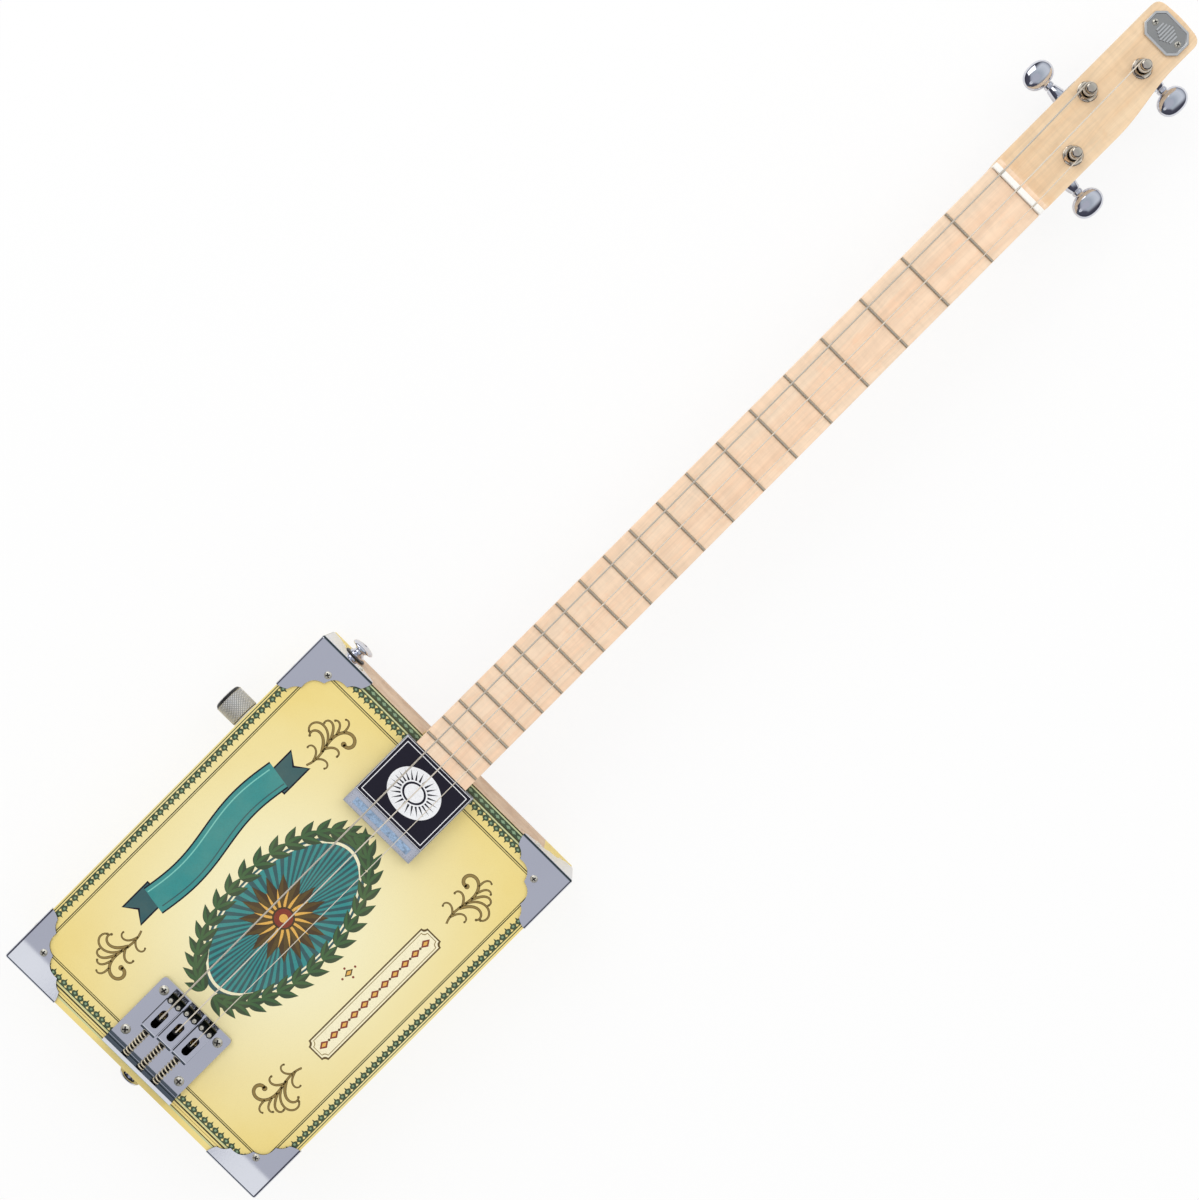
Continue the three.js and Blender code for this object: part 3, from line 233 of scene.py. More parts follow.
def paperMaterial(name, base, edge, paleMiddle=None, paleCentre=(0, 0, 0), paleReach=0.1):
    material, tree, fine, broad = startMaterial(name, 2600.0, 22.0)
    tint = mixColour(tree, spread(tree, broad, 0.0, 1.0), base, edge)
    # The paper is paler towards the middle of the lid
    if paleMiddle:
        away = vectorMath(tree, "DISTANCE", objectPlace(tree), paleCentre, "Value")
        tint = mixColour(tree, ramped(tree, away, paleReach * 0.35, paleReach), paleMiddle, tint)
    tint = darken(tree, 0.5, tint, greyRamp(tree, fine, (0.30, 0.86), (0.48, 1.0)))
    finishSurface(tree, tint, spread(tree, broad, 0.42, 0.58), fine, 0.00004, {"Specular IOR Level": 0.35})
    return material


def inkMaterial(name, base, onPaper=True):
    material, tree, fine, broad = startMaterial(name, 2200.0, 60.0)
    tint = darken(tree, 0.8, base, greyRamp(tree, fine, (0.32, 0.78), (0.52, 1.0)))
    if onPaper:
        tint = mixColour(tree, spread(tree, broad, 0.0, 0.1), tint, palette["paper"])
    finishSurface(tree, tint, spread(tree, broad, 0.38, 0.52), fine, 0.00003, {"Specular IOR Level": 0.35})
    return material


# Wood, with the grain along the neck


def woodMaterial(name, light, dark, roughness=0.42, streak=1.0):
    material, tree = newMaterial(name)
    place = objectPlace(tree)
    growth = noise(tree, place, (70.0, 1.6, 70.0), 6.0, Roughness=0.6, Distortion=0.4)
    tint = mixColour(tree, spread(tree, growth, -0.5 * streak, 1.4 * streak), light, dark)
    fibre = noise(tree, place, (620.0, 9.0, 620.0), 3.0)
    tint = darken(tree, 0.6, tint, greyRamp(tree, fibre, (0.3, 0.9), (0.6, 1.0)))
    fleckPlace = addNode(tree, "ShaderNodeMapping", {"Vector": place, "Scale": (1.0, 0.16, 1.0)}).outputs[0]
    fleck = addNode(tree, "ShaderNodeTexVoronoi", {"Vector": fleckPlace, "Scale": 260.0}).outputs["Distance"]
    tint = darken(tree, 0.35, tint, greyRamp(tree, fleck, (0.04, 0.8), (0.13, 1.0)))
    curl = noise(tree, place, (60.0, 210.0, 60.0), 3.0, Distortion=0.8)
    tint = darken(tree, 0.6, tint, greyRamp(tree, curl, (0.35, 0.89), (0.6, 1.0)))
    line = noise(tree, place, (150.0, 11.0, 150.0), 3.0, Distortion=1.2)
    lines = greyRamp(tree, line, (0.44, 1.0), (0.49, 0.84), (0.51, 0.84), (0.56, 1.0))
    tint = darken(tree, 0.34 * streak, tint, lines)
    spots = greyRamp(tree, noise(tree, place, (250.0, 75.0, 250.0), 5.0, Roughness=0.65), (0.56, 0.0), (0.72, 1.0))
    tint = mixColour(tree, times(tree, spots, 0.6 * streak), tint, dark)
    finishSurface(tree, tint, spread(tree, fibre, roughness - 0.06, roughness + 0.1), fibre, 0.00006,
                  {"Coat Weight": 0.25, "Coat Roughness": 0.2})
    return material


# Metal: plated and polished, or brushed, with fine scratches, a little tarnish and, on some parts, painted shade


def paintedFrontShadeMask(tree, paintedShadeLimit, paintedShadeEnd):
    # Painted shade: where a bent edge turns towards the head and would look into the dark under the strings, its
    # colour is darkened
    facing = split(tree, addNode(tree, "ShaderNodeNewGeometry").outputs["Normal"])["Y"]
    behind = mathNode(tree, "LESS_THAN", split(tree, objectPlace(tree))["Y"], paintedShadeLimit)
    turned = times(tree, ramped(tree, facing, 0.16, 0.34), behind)
    return times(tree, turned, mathNode(tree, "LESS_THAN", facing, paintedShadeEnd))


def paintedUnderShadeMask(tree, centre, reach):
    # Painted shade: the sheet is darkened in a rectangle where another part covers it
    away = vectorMath(tree, "SUBTRACT", objectPlace(tree), centre)
    share = vectorMath(tree, "MULTIPLY", away, tuple(1 / r for r in reach))
    part = split(tree, vectorMath(tree, "ABSOLUTE", share))
    return ramped(tree, mathNode(tree, "MAXIMUM", part["X"], part["Y"]), 1.0, 0.97)


def bendDown(tree, shader, start, full, slope):
    # The sheet's normals tilt through a bump, as if it fell away softly past a line across the tail
    past = mathNode(tree, "SUBTRACT", start, split(tree, objectPlace(tree))["Y"])
    past = mathNode(tree, "MAXIMUM", past, 0.0)
    soft = start - full
    curve = mathNode(tree, "DIVIDE", times(tree, past, past), 2 * soft)
    drop = addNode(tree, "ShaderNodeMix", {"Factor": mathNode(tree, "GREATER_THAN", past, soft), "A": curve,
                                          "B": mathNode(tree, "SUBTRACT", past, soft / 2)})
    height = times(tree, drop.outputs["Result"], -slope)
    tilt = addNode(tree, "ShaderNodeBump", {"Strength": 1.0, "Distance": 1.0, "Height": height})
    small = shader.inputs["Normal"].links[0].from_node
    tree.links.new(tilt.outputs["Normal"], small.inputs["Normal"])


def metalMaterial(name, base, roughness, scratchStretch=6.0, tarnish=0.25, bumpDepth=0.000012, metallic=1.0,
                  paintedFrontShade=None, paintedShadeLimit=1.0, paintedShadeEnd=2.0, paintedUnderShade=(), fall=None):
    material, tree, fine, broad = startMaterial(name, 1500.0, 45.0, scratchStretch)
    tint = mixColour(tree, spread(tree, broad, 0.0, tarnish), base, scaled(base, 0.72))
    if paintedFrontShade:
        tint = mixColour(tree, paintedFrontShadeMask(tree, paintedShadeLimit, paintedShadeEnd), tint, paintedFrontShade)
    for centre, reach in paintedUnderShade:
        tint = mixColour(tree, paintedUnderShadeMask(tree, centre, reach), tint, grey(0.03))
    rough = mathNode(tree, "ADD", spread(tree, broad, roughness * 0.7, roughness * 1.2),
                     spread(tree, fine, 0.0, roughness * 0.3))
    shader = finishSurface(tree, tint, rough, fine, bumpDepth, {"Metallic": metallic})
    if fall:
        bendDown(tree, shader, *fall)
    return material


def knurledMaterial(name, base, axisY, axisZ, radius, depth, start):
    # Painted shade in the grooves: bright tips and dark grooves, told apart by their distance from the knob's axis
    material, tree, fine, broad = startMaterial(name, 1800.0, 120.0)
    part = split(tree, objectPlace(tree))
    away = vectorMath(tree, "DISTANCE", joined(tree, Y=part["Y"], Z=part["Z"]), (0.0, axisY, axisZ), "Value")
    tip = ramped(tree, away, radius - depth * 0.95, radius - depth * 0.4)
    smooth = mathNode(tree, "LESS_THAN", part["X"], start)
    tint = mixColour(tree, mathNode(tree, "MAXIMUM", tip, smooth), grey(0.07), base)
    tint = mixColour(tree, spread(tree, broad, 0.0, 0.2), tint, grey(0.4))
    finishSurface(tree, tint, spread(tree, fine, 0.22, 0.4), fine, 0.00001, {"Metallic": 0.4})
    return material


def windingMaterial(name, base, pitch):
    material, tree, fine, broad = startMaterial(name, 1800.0, 60.0)
    wrap = addNode(tree, "ShaderNodeTexWave", {
        "Vector": objectPlace(tree), "Scale": 1 / pitch / tau, "Distortion": 0.0}, bands_direction="Y").outputs["Fac"]
    # The windings' relief is a bump; the darker colour between them is painted shade
    tint = mixColour(tree, wrap, scaled(base, 0.5), base)
    finishSurface(tree, tint, spread(tree, broad, 0.28, 0.42), wrap, 0.0001, {"Metallic": 0.4})
    return material


def plasticMaterial(name, base, roughness, mottle=0.12, metallic=0.0, coat=0.0):
    material, tree, fine, broad = startMaterial(name, 1400.0, 70.0)
    tint = mixColour(tree, broad, base, scaled(base, 1 - mottle))
    finishSurface(tree, tint, spread(tree, fine, roughness * 0.8, roughness * 1.25), fine, 0.00002,
                  {"Metallic": metallic, "Coat Weight": coat})
    return material


def strikerMaterial(name, base):
    # A rough strip with dark scuffs
    material, tree, fine, broad = startMaterial(name, 1500.0, 400.0)
    tint = darken(tree, 0.7, base, greyRamp(tree, broad, (0.34, 0.45), (0.5, 1.0)))
    tint = darken(tree, 0.6, tint, greyRamp(tree, fine, (0.4, 0.7), (0.62, 1.25)))
    finishSurface(tree, tint, spread(tree, fine, 0.5, 0.8), fine, 0.0002)
    return material


def feltMaterial(name, base):
    material, tree, fine, broad = startMaterial(name, 3800.0, 240.0)
    hairs = greyRamp(tree, fine, (0.4, 0.0), (0.7, 1.0))
    tint = mixColour(tree, hairs, base, scaled(base, 2.6, 0.006))
    finishSurface(tree, tint, spread(tree, broad, 0.85, 1.0), fine, 0.0003, {"Sheen Weight": 0.4})
    return material


paleCentre = (0.0, -0.005, 0.047)
materials = {
    "lidPaper": paperMaterial("lid_paper", palette["paper"], palette["paperEdge"], palette["paperPaleMiddle"], paleCentre,
                              0.125),
    "wallPaper": paperMaterial("wall_paper", palette["paper"], palette["paperEdge"]),
    "maple": woodMaterial("maple", palette["maple"], palette["mapleDark"]),
    "fretboard": woodMaterial("fretboard_maple", palette["fretboard"], palette["fretboardDark"], 0.36),
    "bareWood": woodMaterial("bare_wood", palette["paperTan"], palette["bareWood"], 0.6, 1.2),
    # Painted shade: the corners' folds and the saddles' bent fronts are darkened where they turn towards the head
    "corner": metalMaterial("corner_metal", palette["chrome"], 0.05, 3.0, 0.15, paintedFrontShade=(0.05, 0.07, 0.08, 1.0),
                            paintedShadeEnd=0.93, fall=(-0.108, -0.116, 0.055)),
    "saddle": metalMaterial("saddle_metal", palette["chrome"], 0.08, paintedFrontShade=grey(0.012)),
    "bone": plasticMaterial("nut_bone", palette["bone"], 0.3, 0.06, 0.0, 0.3),
    "shell": plasticMaterial("pickup_shell", palette["shell"], 0.28, 0.1, 0.55, 0.3),
    "blackPlastic": plasticMaterial("black_plastic", palette["black"], 0.42),
    "striker": strikerMaterial("striker", palette["striker"]),
    "felt": feltMaterial("felt", palette["black"]),
    "woundString": windingMaterial("wound_string", palette["string"], 0.00028),
}
# Plain metals: the material's name, colour, roughness, scratch stretch, tarnish, bump depth, metallic
for finishName, (name, tone, *values) in {
    "chrome": ("chrome", "chrome", 0.06),
    "nickel": ("nickel", "nickel", 0.2),
    "tunerMetal": ("tuner_metal", "tunerMetal", 0.12, 1.0, 0.4),
    "pewter": ("pewter", "pewter", 0.3, 2.0, 0.4),
    "pewterCast": ("pewter_cast", "pewterCast", 0.42, 1.0, 0.5, 0.00012),
    "screw": ("screw_head", "screw", 0.3, 1.0, 0.3, 0.000012, 0.7),
    "spring": ("spring_wire", "spring", 0.25, 1.0, 0.3, 0.000012, 0.4),
    "fretWire": ("fret_wire", "fretWire", 0.24, 1.0, 0.4, 0.000012, 0.8),
    "steel": ("spring_steel", "nickel", 0.24, 1.0, 0.4),
    "darkSteel": ("dark_steel", "darkSteel", 0.35, 1.0, 0.4),
    "plainString": ("plain_string", "string", 0.4, 20.0, 0.3, 0.000012, 0.3),
    "copper": ("copper_wire", "copper", 0.35, 12.0, 0.3),
}.items():
    materials[finishName] = metalMaterial(name, palette[tone], *values)
for ink in ("green", "darkGreen", "olive", "paleGreen", "greenMid", "greenLight", "teal", "tealDark", "tealLight",
            "brown", "brownLight", "gold", "darkRed", "cream", "umber", "navy", "white"):
    materials["ink_" + ink] = inkMaterial("ink_" + ink, palette[ink], ink not in ("navy", "white"))
print("materials made")


# Mesh tools


def newPiece(name, mesh, materialName, body=mainBody, replaced=None, sharpAngle=35.0):
    data = mesh
    if isinstance(mesh, bmesh.types.BMesh):
        bmesh.ops.remove_doubles(mesh, verts=mesh.verts, dist=tiny / 10)
        bmesh.ops.recalc_face_normals(mesh, faces=mesh.faces)
        shadeEdges(mesh, radians(sharpAngle))
        data = toMesh(name, mesh)
    data.name = name
    piece = bpy.data.objects.new(name, data)
    bpy.context.scene.collection.objects.link(piece)
    if materialName:
        data.materials.clear()
        data.materials.append(materials[materialName])
    if body:
        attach(piece, body)
    if replaced:
        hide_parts(replaced)
    return piece


def helper(name, mesh):
    return newPiece(name, mesh, None, None, None)


def shadeEdges(mesh, limit):
    # A large flat face keeps its flat shading beside a narrow rounded edge
    slight, large, ratio = radians(4), 4e-6, 12
    areas = {face: face.calc_area() for face in mesh.faces}
    for face in mesh.faces:
        face.smooth = True
    for edge in mesh.edges:
        angle = edge.calc_face_angle(0.0) if len(edge.link_faces) == 2 else pi
        meeting = sorted(areas[face] for face in edge.link_faces)
        flat = angle > slight and meeting[-1] > large and meeting[-1] > ratio * meeting[0]
        edge.smooth = angle < limit and not flat


def toMesh(name, mesh):
    data = bpy.data.meshes.new(name)
    mesh.to_mesh(data)
    mesh.free()
    return data


def evaluated(piece):
    return bpy.data.meshes.new_from_object(piece.evaluated_get(bpy.context.evaluated_depsgraph_get()))


def removeObject(piece):
    data = piece.data
    bpy.data.objects.remove(piece)
    bpy.data.meshes.remove(data)


def applyModifiers(piece):
    result = evaluated(piece)
    piece.modifiers.clear()
    old = piece.data
    piece.data = result
    bpy.data.meshes.remove(old)


def stitch(mesh, rings, ends=False):
    # Faces between neighbouring rings; a ring of one vertex is a pole
    steps = max(len(ring) for ring in rings)
    for first, second in zip(rings, rings[1:]):
        for i in range(steps):
            j = (i + 1) % steps
            corners = [first[i % len(first)], first[j % len(first)], second[j % len(second)], second[i % len(second)]]
            unique = list(dict.fromkeys(corners))
            if len(unique) > 2:
                mesh.faces.new(unique)
    if ends:
        mesh.faces.new(rings[0][::-1])
        mesh.faces.new(rings[-1])
    return mesh


def addPrism(mesh, outline, low, high):
    bottom = [mesh.verts.new((x, y, low)) for x, y in outline]
    top = [mesh.verts.new((x, y, high)) for x, y in outline]
    mesh.faces.new(bottom[::-1])
    mesh.faces.new(top)
    stitch(mesh, [bottom, top])
    return bottom + top


def prism(outline, low, high):
    mesh = bmesh.new()
    addPrism(mesh, outline, low, high)
    return mesh


def sidePrism(outline, x0, x1):
    # The outline's own axes become Y and Z
    mesh = prism(outline, x0, x1)
    move(mesh, Matrix(((0, 0, 1, 0), (1, 0, 0, 0), (0, 1, 0, 0), (0, 0, 0, 1))))
    return mesh


def move(mesh, matrix):
    bmesh.ops.transform(mesh, matrix=matrix, verts=mesh.verts)


def boxMesh(low, high):
    return prism(rectangle(low[0], high[0], low[1], high[1]), low[2], high[2])


def bevelSharp(mesh, width, segments=2, angle=30.0, chosen=None):
    bmesh.ops.recalc_face_normals(mesh, faces=mesh.faces)
    limit = radians(angle)
    edges = [edge for edge in mesh.edges
             if len(edge.link_faces) == 2 and edge.calc_face_angle(0.0) > limit and (not chosen or chosen(edge))]
    bmesh.ops.bevel(mesh, geom=edges, offset=width, segments=segments, profile=0.5, affect="EDGES",
                    clamp_overlap=True)


def axisMatrix(axis, origin, turn=0.0):
    # Turns +Z to the axis and moves to the origin
    aim = Vector(axis).to_track_quat("Z", "Y").to_matrix().to_4x4()
    return Matrix.Translation(origin) @ aim @ Matrix.Rotation(turn, 4, "Z")


def lathe(profile, steps, axis, origin, turn=0.0):
    # profile is a list of (radius, height) along the axis
    mesh = bmesh.new()
    matrix = axisMatrix(axis, origin, turn)
    rings = []
    for radius, height in profile:
        if radius == 0:
            rings.append([mesh.verts.new(matrix @ Vector((0, 0, height)))])
        else:
            rings.append([mesh.verts.new(matrix @ Vector((*polar(radius, tau * i / steps), height)))
                          for i in range(steps)])
    return stitch(mesh, rings)


def cylinder(radius, low, high, axis, origin, steps=32, endRadius=None):
    end = radius if endRadius is None else endRadius
    return lathe([(0, low), (radius, low), (end, high), (0, high)], steps, axis, origin)


def tube(points, radii, sides):
    mesh = bmesh.new()
    vectors = [Vector(point) for point in points]
    side = Vector((1, 0, 0)) if abs((vectors[1] - vectors[0]).normalized().x) < 0.9 else Vector((0, 1, 0))
    rings = []
    for i, (point, radius) in enumerate(zip(vectors, radii)):
        along = (vectors[min(i + 1, len(vectors) - 1)] - vectors[max(i - 1, 0)]).normalized()
        side = (side - along * side.dot(along)).normalized()
        other = along.cross(side)
        rings.append([mesh.verts.new(point + side * radius * cos(tau * k / sides)
                                     + other * radius * sin(tau * k / sides)) for k in range(sides)])
    return stitch(mesh, rings, True)


def combined(target, tools, operation="DIFFERENCE"):
    # The meshes given are used up
    bmesh.ops.recalc_face_normals(target, faces=target.faces)
    base = helper("boolean_base", target)
    for tool in tools:
        bmesh.ops.recalc_face_normals(tool, faces=tool.faces)
        other = helper("boolean_tool", tool)
        step = base.modifiers.new("step", "BOOLEAN")
        step.object = other
        step.operation = operation
        step.solver = "EXACT"
        applyModifiers(base)
        removeObject(other)
    mesh = bmesh.new()
    mesh.from_mesh(base.data)
    removeObject(base)
    return mesh


def polar(radius, angle):
    return radius * cos(angle), radius * sin(angle)


def arc(centreX, centreY, radius, start, end, steps):
    turns = [polar(radius, start + (end - start) * i / steps) for i in range(steps + 1)]
    return [(centreX + x, centreY + y) for x, y in turns]


def roundedOutline(x0, x1, y0, y1, radius, steps=5):
    middles = ((x1 - radius, y0 + radius), (x1 - radius, y1 - radius), (x0 + radius, y1 - radius),
               (x0 + radius, y0 + radius))
    return [point for k, (x, y) in enumerate(middles)
            for point in arc(x, y, radius, (k - 1) * pi / 2, k * pi / 2, steps)]


def rectangle(x0, x1, y0, y1):
    return [(x0, y0), (x1, y0), (x1, y1), (x0, y1)]


def dress(nodeName, materialName):
    piece = nodes[nodeName]
    if not piece.data.materials:
        piece.data.materials.append(None)
    piece.material_slots[0].material = materials[materialName]


def middle(nodeName):
    low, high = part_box(nodeName)
    return (low + high) / 2


def saddlePlace(i):
    low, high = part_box(f"saddle_{i}")
    return low, high, (low.x + high.x) / 2


def startGroup(name, kinds):
    # A Geometry Nodes tree, its inputs and their identifiers
    group = bpy.data.node_groups.new(name, "GeometryNodeTree")
    face = group.interface
    face.new_socket("Geometry", in_out="OUTPUT", socket_type="NodeSocketGeometry")
    identifiers = {key: face.new_socket(key, in_out="INPUT", socket_type="NodeSocket" + kind).identifier
                   for key, kind in kinds.items()}
    return group, group.nodes.new("NodeGroupInput").outputs, identifiers


def setOnPoints(group, points, source, material, **inputs):
    # One copy of the source on each point, real and painted
    thing = addNode(group, "GeometryNodeObjectInfo", {"Object": source}).outputs["Geometry"]
    result = addNode(group, "GeometryNodeInstanceOnPoints", {"Points": points, "Instance": thing, **inputs}).outputs[0]
    result = addNode(group, "GeometryNodeRealizeInstances", {"Geometry": result}).outputs[0]
    result = addNode(group, "GeometryNodeSetMaterial", {"Geometry": result, "Material": material}).outputs[0]
    group.links.new(result, group.nodes.new("NodeGroupOutput").inputs[0])


def runGroup(name, group, identifiers, values, slotName, *sources):
    holder = bpy.data.objects.new(name, bpy.data.meshes.new(name + "_start"))
    bpy.context.scene.collection.objects.link(holder)
    modifier = holder.modifiers.new("make", "NODES")
    modifier.node_group = group
    for key, value in values.items():
        modifier[identifiers[key]] = value
    made = evaluated(holder)
    holder.modifiers.remove(modifier)
    for used in (holder, *sources):
        removeObject(used)
    newPiece(name, made, None)


def stage():
    settings = {"floorSize": 6.0, "floorColour": colour(246, 246, 246), "floorShade": colour(240, 240, 240),
                "whiteShare": 0.82}
    half = settings["floorSize"] / 2
    mesh = bmesh.new()
    mesh.faces.new([mesh.verts.new((x, y, 0.0)) for x, y in rectangle(-half, half, -half, half)])
    bmesh.ops.triangulate(mesh, faces=mesh.faces)
    material, tree, fine, broad = startMaterial("floor", 60.0, 3.0)
    tint = mixColour(tree, spread(tree, broad, 0.0, 0.1), settings["floorColour"], settings["floorShade"])
    shader = finishSurface(tree, tint, 0.9)
    white = addNode(tree, "ShaderNodeEmission", {"Color": grey(1.0), "Strength": 1.0})
    path = addNode(tree, "ShaderNodeLightPath")
    seen = times(tree, path.outputs["Is Camera Ray"], settings["whiteShare"])
    mixed = addNode(tree, "ShaderNodeMixShader", {0: seen, 1: shader.outputs[0], 2: white.outputs[0]})
    tree.links.new(mixed.outputs[0], tree.nodes["Material Output"].inputs["Surface"])
    materials["floor"] = material
    newPiece("floor", mesh, "floor", None)


def camera():
    # The photograph's view, found from the frets and the box's corners
    settings = {"place": (-0.03165, 0.26941, 1.05333), "lens": 54.87, "tiltX": 1.30, "tiltY": 1.64, "tiltZ": 0.07,
                "roll": 45.0}
    data = bpy.data.cameras.new("camera")
    data.sensor_fit = "HORIZONTAL"
    data.sensor_width = 36.0
    data.lens = settings["lens"]
    data.clip_start = 0.01
    data.clip_end = 20.0
    view = bpy.data.objects.new("camera", data)
    bpy.context.scene.collection.objects.link(view)
    turns = {axis: Matrix.Rotation(radians(settings["tilt" + axis]), 3, axis) for axis in "XYZ"}
    tilt = turns["Z"] @ turns["Y"] @ turns["X"]
    rolled = tilt.transposed() @ Matrix.Rotation(radians(settings["roll"]), 3, "Z")
    view.matrix_world = Matrix.Translation(settings["place"]) @ rolled.to_4x4()
    bpy.context.scene.camera = view


def addAreaLight(name, place, size, power):
    data = bpy.data.lights.new(name, "AREA")
    data.shape = "SQUARE"
    data.size = size
    data.energy = power
    light = bpy.data.objects.new(name, data)
    bpy.context.scene.collection.objects.link(light)
    light.location = place
    target = Vector((0.0, 0.15, 0.0))
    light.rotation_euler = (target - Vector(place)).to_track_quat("-Z", "Y").to_euler()
    return light


def lighting():
    settings = {"skyStrength": 0.86, "sideLight": 14.0, "headLight": 9.0, "sideWalls": (0.35, 0.75),
                "cards": (0.05, 0.28), "cardGap": 0.03, "cardReach": (0.14, 0.11), "wingGap": (0.045, 0.062),
                "cardLevel": (0.60, 0.70), "wingCard": (0.385, 0.42, 0.66, 0.60),
                "middleCard": (0.595, 0.62, 0.74, 0.70)}
    addAreaLight("left_light", (-1.9, 0.9, 1.5), 1.6, settings["sideLight"])
    headLight = addAreaLight("head_light", (0.6, 2.2, 1.7), 1.4, settings["headLight"])
    headLight.visible_glossy = False
    world = bpy.data.worlds.new("studio")
    bpy.context.scene.world = world
    world.use_nodes = True
    tree = world.node_tree
    tree.nodes.clear()
    # What polished metal reflects: a lilac-grey ceiling, two bright cards towards the tail, pale
    # walls towards the head and dark ones to the sides
    parts = split(tree, addNode(tree, "ShaderNodeTexCoord").outputs["Generated"])
    height = parts["Z"]
    ceiling = (0.53, 0.54, 0.60)
    card = (0.95, 0.96, 0.97, 1.0)
    skirting = (0.90, 0.90, 0.92)
    tail = rampNode(tree, height, [
        (0.0, skirting), (0.05, (0.45, 0.46, 0.50)), (0.10, (0.08, 0.10, 0.12)), (0.72, (0.09, 0.11, 0.14)),
        (0.80, ceiling), (1.0, ceiling)])
    head = rampNode(tree, height, [
        (0.0, skirting), (0.08, (0.16, 0.16, 0.19)), (0.20, (0.36, 0.38, 0.42)), (0.40, (0.60, 0.63, 0.68)),
        (0.60, (0.74, 0.77, 0.81)), (0.80, (0.66, 0.70, 0.74)), (0.94, (0.48, 0.52, 0.57)), (0.975, ceiling),
        (1.0, ceiling)])
    sides = rampNode(tree, height, [
        (0.0, skirting), (0.06, (0.40, 0.40, 0.43)), (0.12, (0.05, 0.05, 0.07)), (0.86, (0.09, 0.09, 0.12)),
        (0.93, (0.42, 0.43, 0.49)), (1.0, ceiling)])
    across = mathNode(tree, "ABSOLUTE", parts["X"])
    down = times(tree, parts["Y"], -1.0)
    sideShare = ramped(tree, across, *settings["sideWalls"], True)
    tailShare = ramped(tree, down, *settings["cards"], True)
    beside = mathNode(tree, "ABSOLUTE", mathNode(tree, "SUBTRACT", parts["X"], settings["cardGap"]))
    near = ramped(tree, beside, *settings["cardReach"])
    room = mixColour(tree, tailShare, mixColour(tree, sideShare, head, sides), mixColour(tree, near, sides, tail))
    # A white card hangs behind the tail, lower straight behind the bridge
    wing = ramped(tree, beside, *settings["wingGap"])
    centre = mathNode(tree, "SUBTRACT", 1.0, wing)
    for share, (low, full, end, far) in ((wing, settings["wingCard"]), (centre, settings["middleCard"])):
        level = times(tree, ramped(tree, height, *settings["cardLevel"]), share)
        shown = times(tree, ramped(tree, down, low, full, True), ramped(tree, down, end, far))
        shown = times(tree, times(tree, shown, level), near)
        room = mixColour(tree, shown, room, card)
    seen = addNode(tree, "ShaderNodeBackground", {"Color": room, "Strength": 1.0})
    plain = addNode(tree, "ShaderNodeBackground", {"Color": grey(1.0), "Strength": settings["skyStrength"]})
    path = addNode(tree, "ShaderNodeLightPath")
    chosen = addNode(tree, "ShaderNodeMixShader", {0: path.outputs["Is Glossy Ray"], 1: plain.outputs[0],
                                                   2: seen.outputs[0]})
    tree.links.new(chosen.outputs[0], addNode(tree, "ShaderNodeOutputWorld").inputs["Surface"])


stage()
camera()
lighting()
bpy.context.scene.view_settings.view_transform = "Standard"
print("camera, floor and light set")


# Box


def box():
    dress("lid", "lidPaper")
    for name in ("back_board", "neck_side_wall", "tail_wall", "knob_side_wall", "jack_side_wall"):
        dress(name, "wallPaper")
    # Bare veneer on the neck side, with the lid's paper folded over its ends
    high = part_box("neck_side_wall")[1]
    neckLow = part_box("neck")[0]
    size = {"thickness": 0.00004, "neckHalf": 0.0196, "paper": 0.0215, "top": lidTop - 0.0004, "neckGap": 0.0003}
    veneer = bmesh.new()
    paper = bmesh.new()
    outer = high.y + size["thickness"]
    for side in (-1, 1):
        for sheet, near, far in ((veneer, size["neckHalf"], high.x - size["paper"]),
                                 (paper, high.x - size["paper"], high.x)):
            x0, x1 = sorted((side * near, side * far))
            addPrism(sheet, rectangle(x0, x1, high.y, outer), 0.0, size["top"])
    addPrism(veneer, rectangle(-size["neckHalf"], size["neckHalf"], high.y, outer), 0.0, neckLow.z - size["neckGap"])
    newPiece("neck_side_veneer", veneer, "bareWood")
    newPiece("neck_side_paper", paper, "wallPaper")


# The lid's print: plain ornament in thin layers of ink. Its places and sizes are in millimetres


